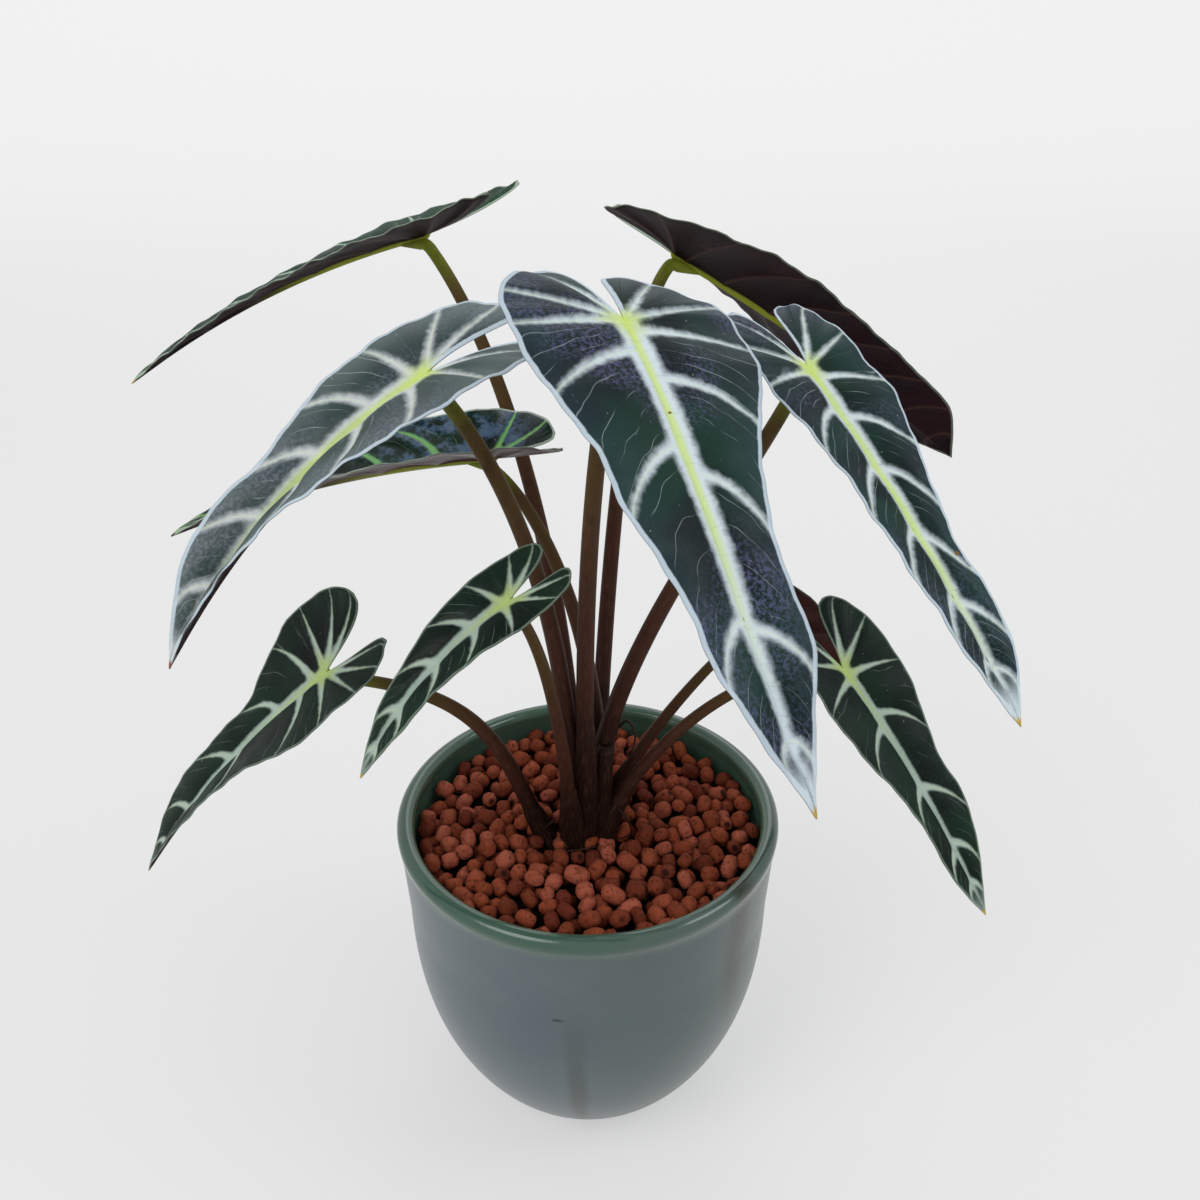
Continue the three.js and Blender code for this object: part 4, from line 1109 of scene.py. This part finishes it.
    grid = x.size
    faces = [
        grid_faces(len(rows), BLADE_COLUMNS),
        grid_faces(len(rows), BLADE_COLUMNS, grid)[:, ::-1],
    ]
    for rim in (np.arange(1, len(rows) + 1) * BLADE_COLUMNS - 1, np.arange(BLADE_COLUMNS)):
        faces.append(np.stack([rim[:-1], rim[:-1] + grid, rim[1:] + grid, rim[1:]], axis=1))
    faces = np.concatenate(faces)
    if side > 0:
        faces = faces[:, ::-1]
    flat = np.stack([x * MM, side * y * MM, 0 * x], axis=-1)
    values = {
        "rib": np.tile(np.stack([band, centre, edge], axis=-1).reshape(-1, 3), (2, 1)),
        "net": np.tile(np.stack([between, gap, share], axis=-1).reshape(-1, 3), (2, 1)),
        "flat": np.concatenate([flat.reshape(-1, 3), (flat + [0, 0, 1]).reshape(-1, 3)]),
    }
    return np.concatenate([top.reshape(-1, 3), under.reshape(-1, 3)]), faces, values


SEED_STEP = 0.37
MOTTLE = (0.35, 0.65)
SPECK_COLOUR = srgb(112, 84, 44)
DUST_COLOUR = srgb(196, 200, 196)


def leaf_skin(name, look, length, seed):
    """The blade's surface: layers of colour, each laid over the last by its own strength.

    The top has a dark mottled ground and a tint towards the margin, with painted sheen and reflections
    over them: flecked patches, and the outer tint flecked towards the tip.
    Over those lie the pale bands along the ribs, the green line of the midrib, a thin line on each
    rib, fine veins between them, the pale margin, dry specks, dust and the dry tip. The underside
    has a dark ground with its own veins. The seed moves the random patterns from leaf to leaf.
    """
    material, tree, shader = new_material(name)
    band, centre, edge = parts(stored(tree, "rib"))
    between, gap, share = parts(stored(tree, "net"))
    x, y, under = parts(stored(tree, "flat"))
    flat = add_node(tree, "ShaderNodeCombineXYZ", None, {0: x, 1: y, 2: SEED_STEP * seed})
    under = step(under, 0.4, 0.6)
    off_midrib = abs(y) * 1000.0
    off_joint = off_midrib + abs(x) * 1000.0
    forward = x / (length * MM)
    cloud = noise(flat, 42.0)
    ragged = noise(flat, 420.0, 3.0, 0.6) - 0.5
    fleck = step(noise(flat, look.fleck, 4.0, 0.7), 0.44, 0.6)

    top = mix(step(cloud, *MOTTLE), look.dark, look.middle)
    top = mix(step(share, 0.35, 1.0), top, look.outer, look.outer_amount)
    # Painted sheen and reflections: flecked patches of the patch colour, and the outer tint flecked
    # towards the tip.
    sheen_patches = step(noise(flat, 26.0, 2.0), 0.46, 0.62) * fleck
    top = mix(sheen_patches, top, look.patch, look.patch_amount)
    top = mix(step(forward, look.frost_start, 1.0) * fleck, top, look.outer, look.frost)
    pale = step(band + ragged * look.ragged, look.feather, -look.feather)
    pale_colour = mix(step(off_joint, 12.0, 2.0), look.pale, look.core_colour, 0.8)
    top = mix(pale, top, pale_colour, look.pale_amount)
    green_core = step(off_midrib, look.core * 1.4, look.core * 0.3)
    green_core = green_core * step(forward, look.core_end, look.core_end - 0.5)
    green_core = green_core * step(forward, -0.02, 0.0)
    top = mix(green_core, top, look.core_colour, look.core_amount)
    line = step(centre, 0.35, 0.12) * step(band, 0.2, -0.1)
    top = mix(line, top, look.core_colour, look.line_amount)

    spacing = gap / look.hairs
    bent = between * look.hairs + (noise(flat, 60.0, 2.0) - 0.5) * 1.3
    hair = step(abs(calc("FRACT", bent) - 0.5) * spacing, 0.22, 0.04) * step(spacing, 1.2, 2.6)
    top_hair = hair * step(share, look.hair_start, look.hair_start + 0.25)
    top_hair = top_hair * step(noise(flat, 95.0, 2.0), 0.38, 0.6) * step(forward, -0.04, 0.08)
    top = mix(top_hair, top, look.pale, look.hair_amount)
    rim = step(edge + ragged * 0.5, look.margin * 1.2, look.margin * 0.8)
    rim = rim * step(off_joint, 2.0, 6.0)
    top = mix(rim, top, look.margin_colour, look.margin_amount)
    for speck_x, speck_y, size in look.specks:
        away = from_spot(flat, (speck_x * MM, speck_y * MM, SEED_STEP * seed)) + ragged * MM
        top = mix(step(away, size * MM, 0.6 * size * MM), top, SPECK_COLOUR)
    top = mix(step(noise(flat, 1100.0, 1.0), 0.76, 0.8), top, DUST_COLOUR, 0.5)
    top = mix(step(forward, 0.88, 0.96), top, look.pale, look.tip_pale)
    top = mix(step(forward + ragged * 0.02, 0.972, 0.988), top, look.tip_colour)

    below = mix(step(cloud, *MOTTLE), look.under_dark, look.under_middle)
    below = mix(hair, below, look.under_line, 0.35)
    below = mix(step(centre, 0.9, 0.3), below, look.under_line, 0.7)
    vein = step(off_midrib, 1.9, 1.2) * step(forward, 0.6, 0.25)
    below = mix(vein, below, look.under_midrib)
    below = mix(rim, below, look.margin_colour, 0.2)
    fill(shader, {
        "Base Color": mix(under, top, below),
        "Roughness": cloud * 0.12 + look.rough + under * 0.12,
        "Specular IOR Level": look.specular,
        "Coat Weight": look.coat,
        "Coat Roughness": 0.25,
        "Normal": bump(noise(flat, 2400.0, 2.0) * 0.3 + hair * 0.9, 0.45, 0.0003),
    })
    return material


# A look says how one kind of leaf is veined, shaped and coloured, in millimetres. rib_width and
# midrib_width are the pale bands' half-widths at their start; _taper is how fast they narrow, _end
# what is left, rib_reach the share of the way out that a rib's band runs, and rib_small its share
# of the width in the lobes and at the tip. bulge, sink and wave say how strongly the blade bulges
# between ribs, sinks at them and waves. ragged and feather roughen and soften the bands' edges.
# core is the half-width of the midrib's green line, which ends at core_end of the length. hairs is
# how many fine veins lie between two ribs, from hair_start of the way out. margin is the width of
# the pale edge. Each speck has a place along and across, and a size. fleck is in waves a metre, an
# _amount is a strength from 0 to 1, and the rest are colours and finish.
# The patch colour, and the flecked outer tint towards the tip, are painted sheen and reflections.
SILVER = dict(
    rib_width=1.6, rib_end=0.1, rib_reach=1.03, rib_taper=0.8, rib_small=0.75,
    midrib_width=3.6, midrib_end=0.3, midrib_taper=0.55,
    bulge=1.4, sink=1.0, wave=0.5, wave_length=21, wave_start=1.0,
    dark=srgb(4, 18, 18), middle=srgb(14, 44, 35), outer=srgb(52, 70, 82), outer_amount=0.25,
    patch=srgb(94, 92, 132), patch_amount=0.5, frost=0.35, frost_start=0.3, fleck=800.0,
    pale=srgb(196, 208, 214), pale_amount=0.92, ragged=2.0, feather=1.3,
    core=1.4, core_end=0.85, core_colour=srgb(184, 204, 104), core_amount=0.75, line_amount=0.2,
    hairs=4.2, hair_start=0.15, hair_amount=0.28,
    margin=1.2, margin_colour=srgb(178, 192, 202), margin_amount=0.9,
    tip_pale=0.75, tip_colour=srgb(190, 158, 70), specks=[(31, 0.4, 0.5)],
    rough=0.4, specular=0.1, coat=0.04,
    under_dark=srgb(16, 6, 9), under_middle=srgb(32, 12, 17), under_line=srgb(58, 36, 30),
    under_midrib=srgb(128, 136, 44),
)
DARK = SILVER | dict(
    rib_width=1.5, rib_end=0.0, rib_reach=0.9, rib_taper=0.9, rib_small=0.9,
    midrib_width=1.9, midrib_end=0.25, midrib_taper=0.9, bulge=1.1, wave=0.35,
    dark=srgb(4, 13, 10), middle=srgb(14, 36, 24), outer=srgb(30, 52, 38), outer_amount=0.25,
    patch=srgb(34, 48, 48), patch_amount=0.4, frost=0.1, pale=srgb(164, 182, 170), ragged=0.9,
    feather=0.6, core=0.9, core_end=0.45, core_colour=srgb(172, 192, 108),
    hairs=3.4, hair_start=0.3, hair_amount=0.2,
    margin=0.6, margin_colour=srgb(120, 136, 120), margin_amount=0.6, tip_pale=0.3, specks=[],
)
GREEN = SILVER | dict(
    rib_width=1.3, midrib_width=2.0, dark=srgb(8, 28, 20), middle=srgb(18, 50, 34),
    outer=srgb(58, 84, 68), patch=srgb(60, 90, 70), pale=srgb(170, 188, 176), ragged=1.2,
    feather=0.5, core_colour=srgb(150, 176, 70), margin=0.8, margin_colour=srgb(180, 196, 176),
    margin_amount=0.6, tip_pale=0.2, specks=[], specular=0.06, coat=0.0,
)
# Leaf 6: its blue-grey patches, in large flecks, are painted reflections.
GLOSSY = GREEN | dict(
    rough=0.2, specular=0.2, coat=0.15, bulge=1.8, tip_colour=srgb(58, 36, 28),
    dark=srgb(2, 12, 8), middle=srgb(6, 34, 18), outer=srgb(20, 48, 40),
    patch=srgb(96, 122, 156), patch_amount=0.45, fleck=110.0, pale=srgb(104, 160, 96),
    under_dark=srgb(40, 14, 22), under_middle=srgb(58, 24, 34),
)
# Leaf 2: a lighter, greyer ground and outer tint, partly its own colour and partly painted sheen.
SHEEN_WASHED = SILVER | dict(
    dark=srgb(20, 40, 40), middle=srgb(42, 64, 60), outer=srgb(112, 124, 124), outer_amount=0.35,
    patch=srgb(120, 124, 150), patch_amount=0.35, frost=0.3, pale=srgb(192, 198, 200), hairs=3.4,
    core=2.0, rib_width=1.8, midrib_width=3.2, specular=0.25, hair_amount=0.4,
    tip_colour=srgb(136, 80, 54), specks=[],
)
NARROW = SILVER | dict(
    rib_width=1.3, midrib_width=2.6, margin=0.7, core=1.5, core_end=0.98, ragged=1.5, feather=1.0,
    patch_amount=0.3, specks=[(72, 7.6, 0.9)],
)
REDDISH = DARK | dict(under_dark=srgb(44, 16, 14), under_middle=srgb(74, 28, 22))
LOOKS = [GREEN, SHEEN_WASHED, SILVER, NARROW, GREEN, GLOSSY, DARK, DARK, DARK, REDDISH]
LOOKS = [SimpleNamespace(**look) for look in LOOKS]

for number, (leaf, look) in enumerate(zip(LEAVES, LOOKS), start=1):
    left_vertices, left_faces, left_values = blade_half(leaf, look, 1)
    right_vertices, right_faces, right_values = blade_half(leaf, look, -1)
    blade = new_piece(
        f"leaf_blade_{number}",
        np.concatenate([left_vertices, right_vertices]),
        np.concatenate([left_faces, right_faces + len(left_vertices)]),
        leaf_skin(f"leaf_{number}", look, leaf.length, number),
        {label: np.concatenate([left_values[label], right_values[label]]) for label in left_values},
    )
    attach(blade, "root")
    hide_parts(f"blade_{number}")
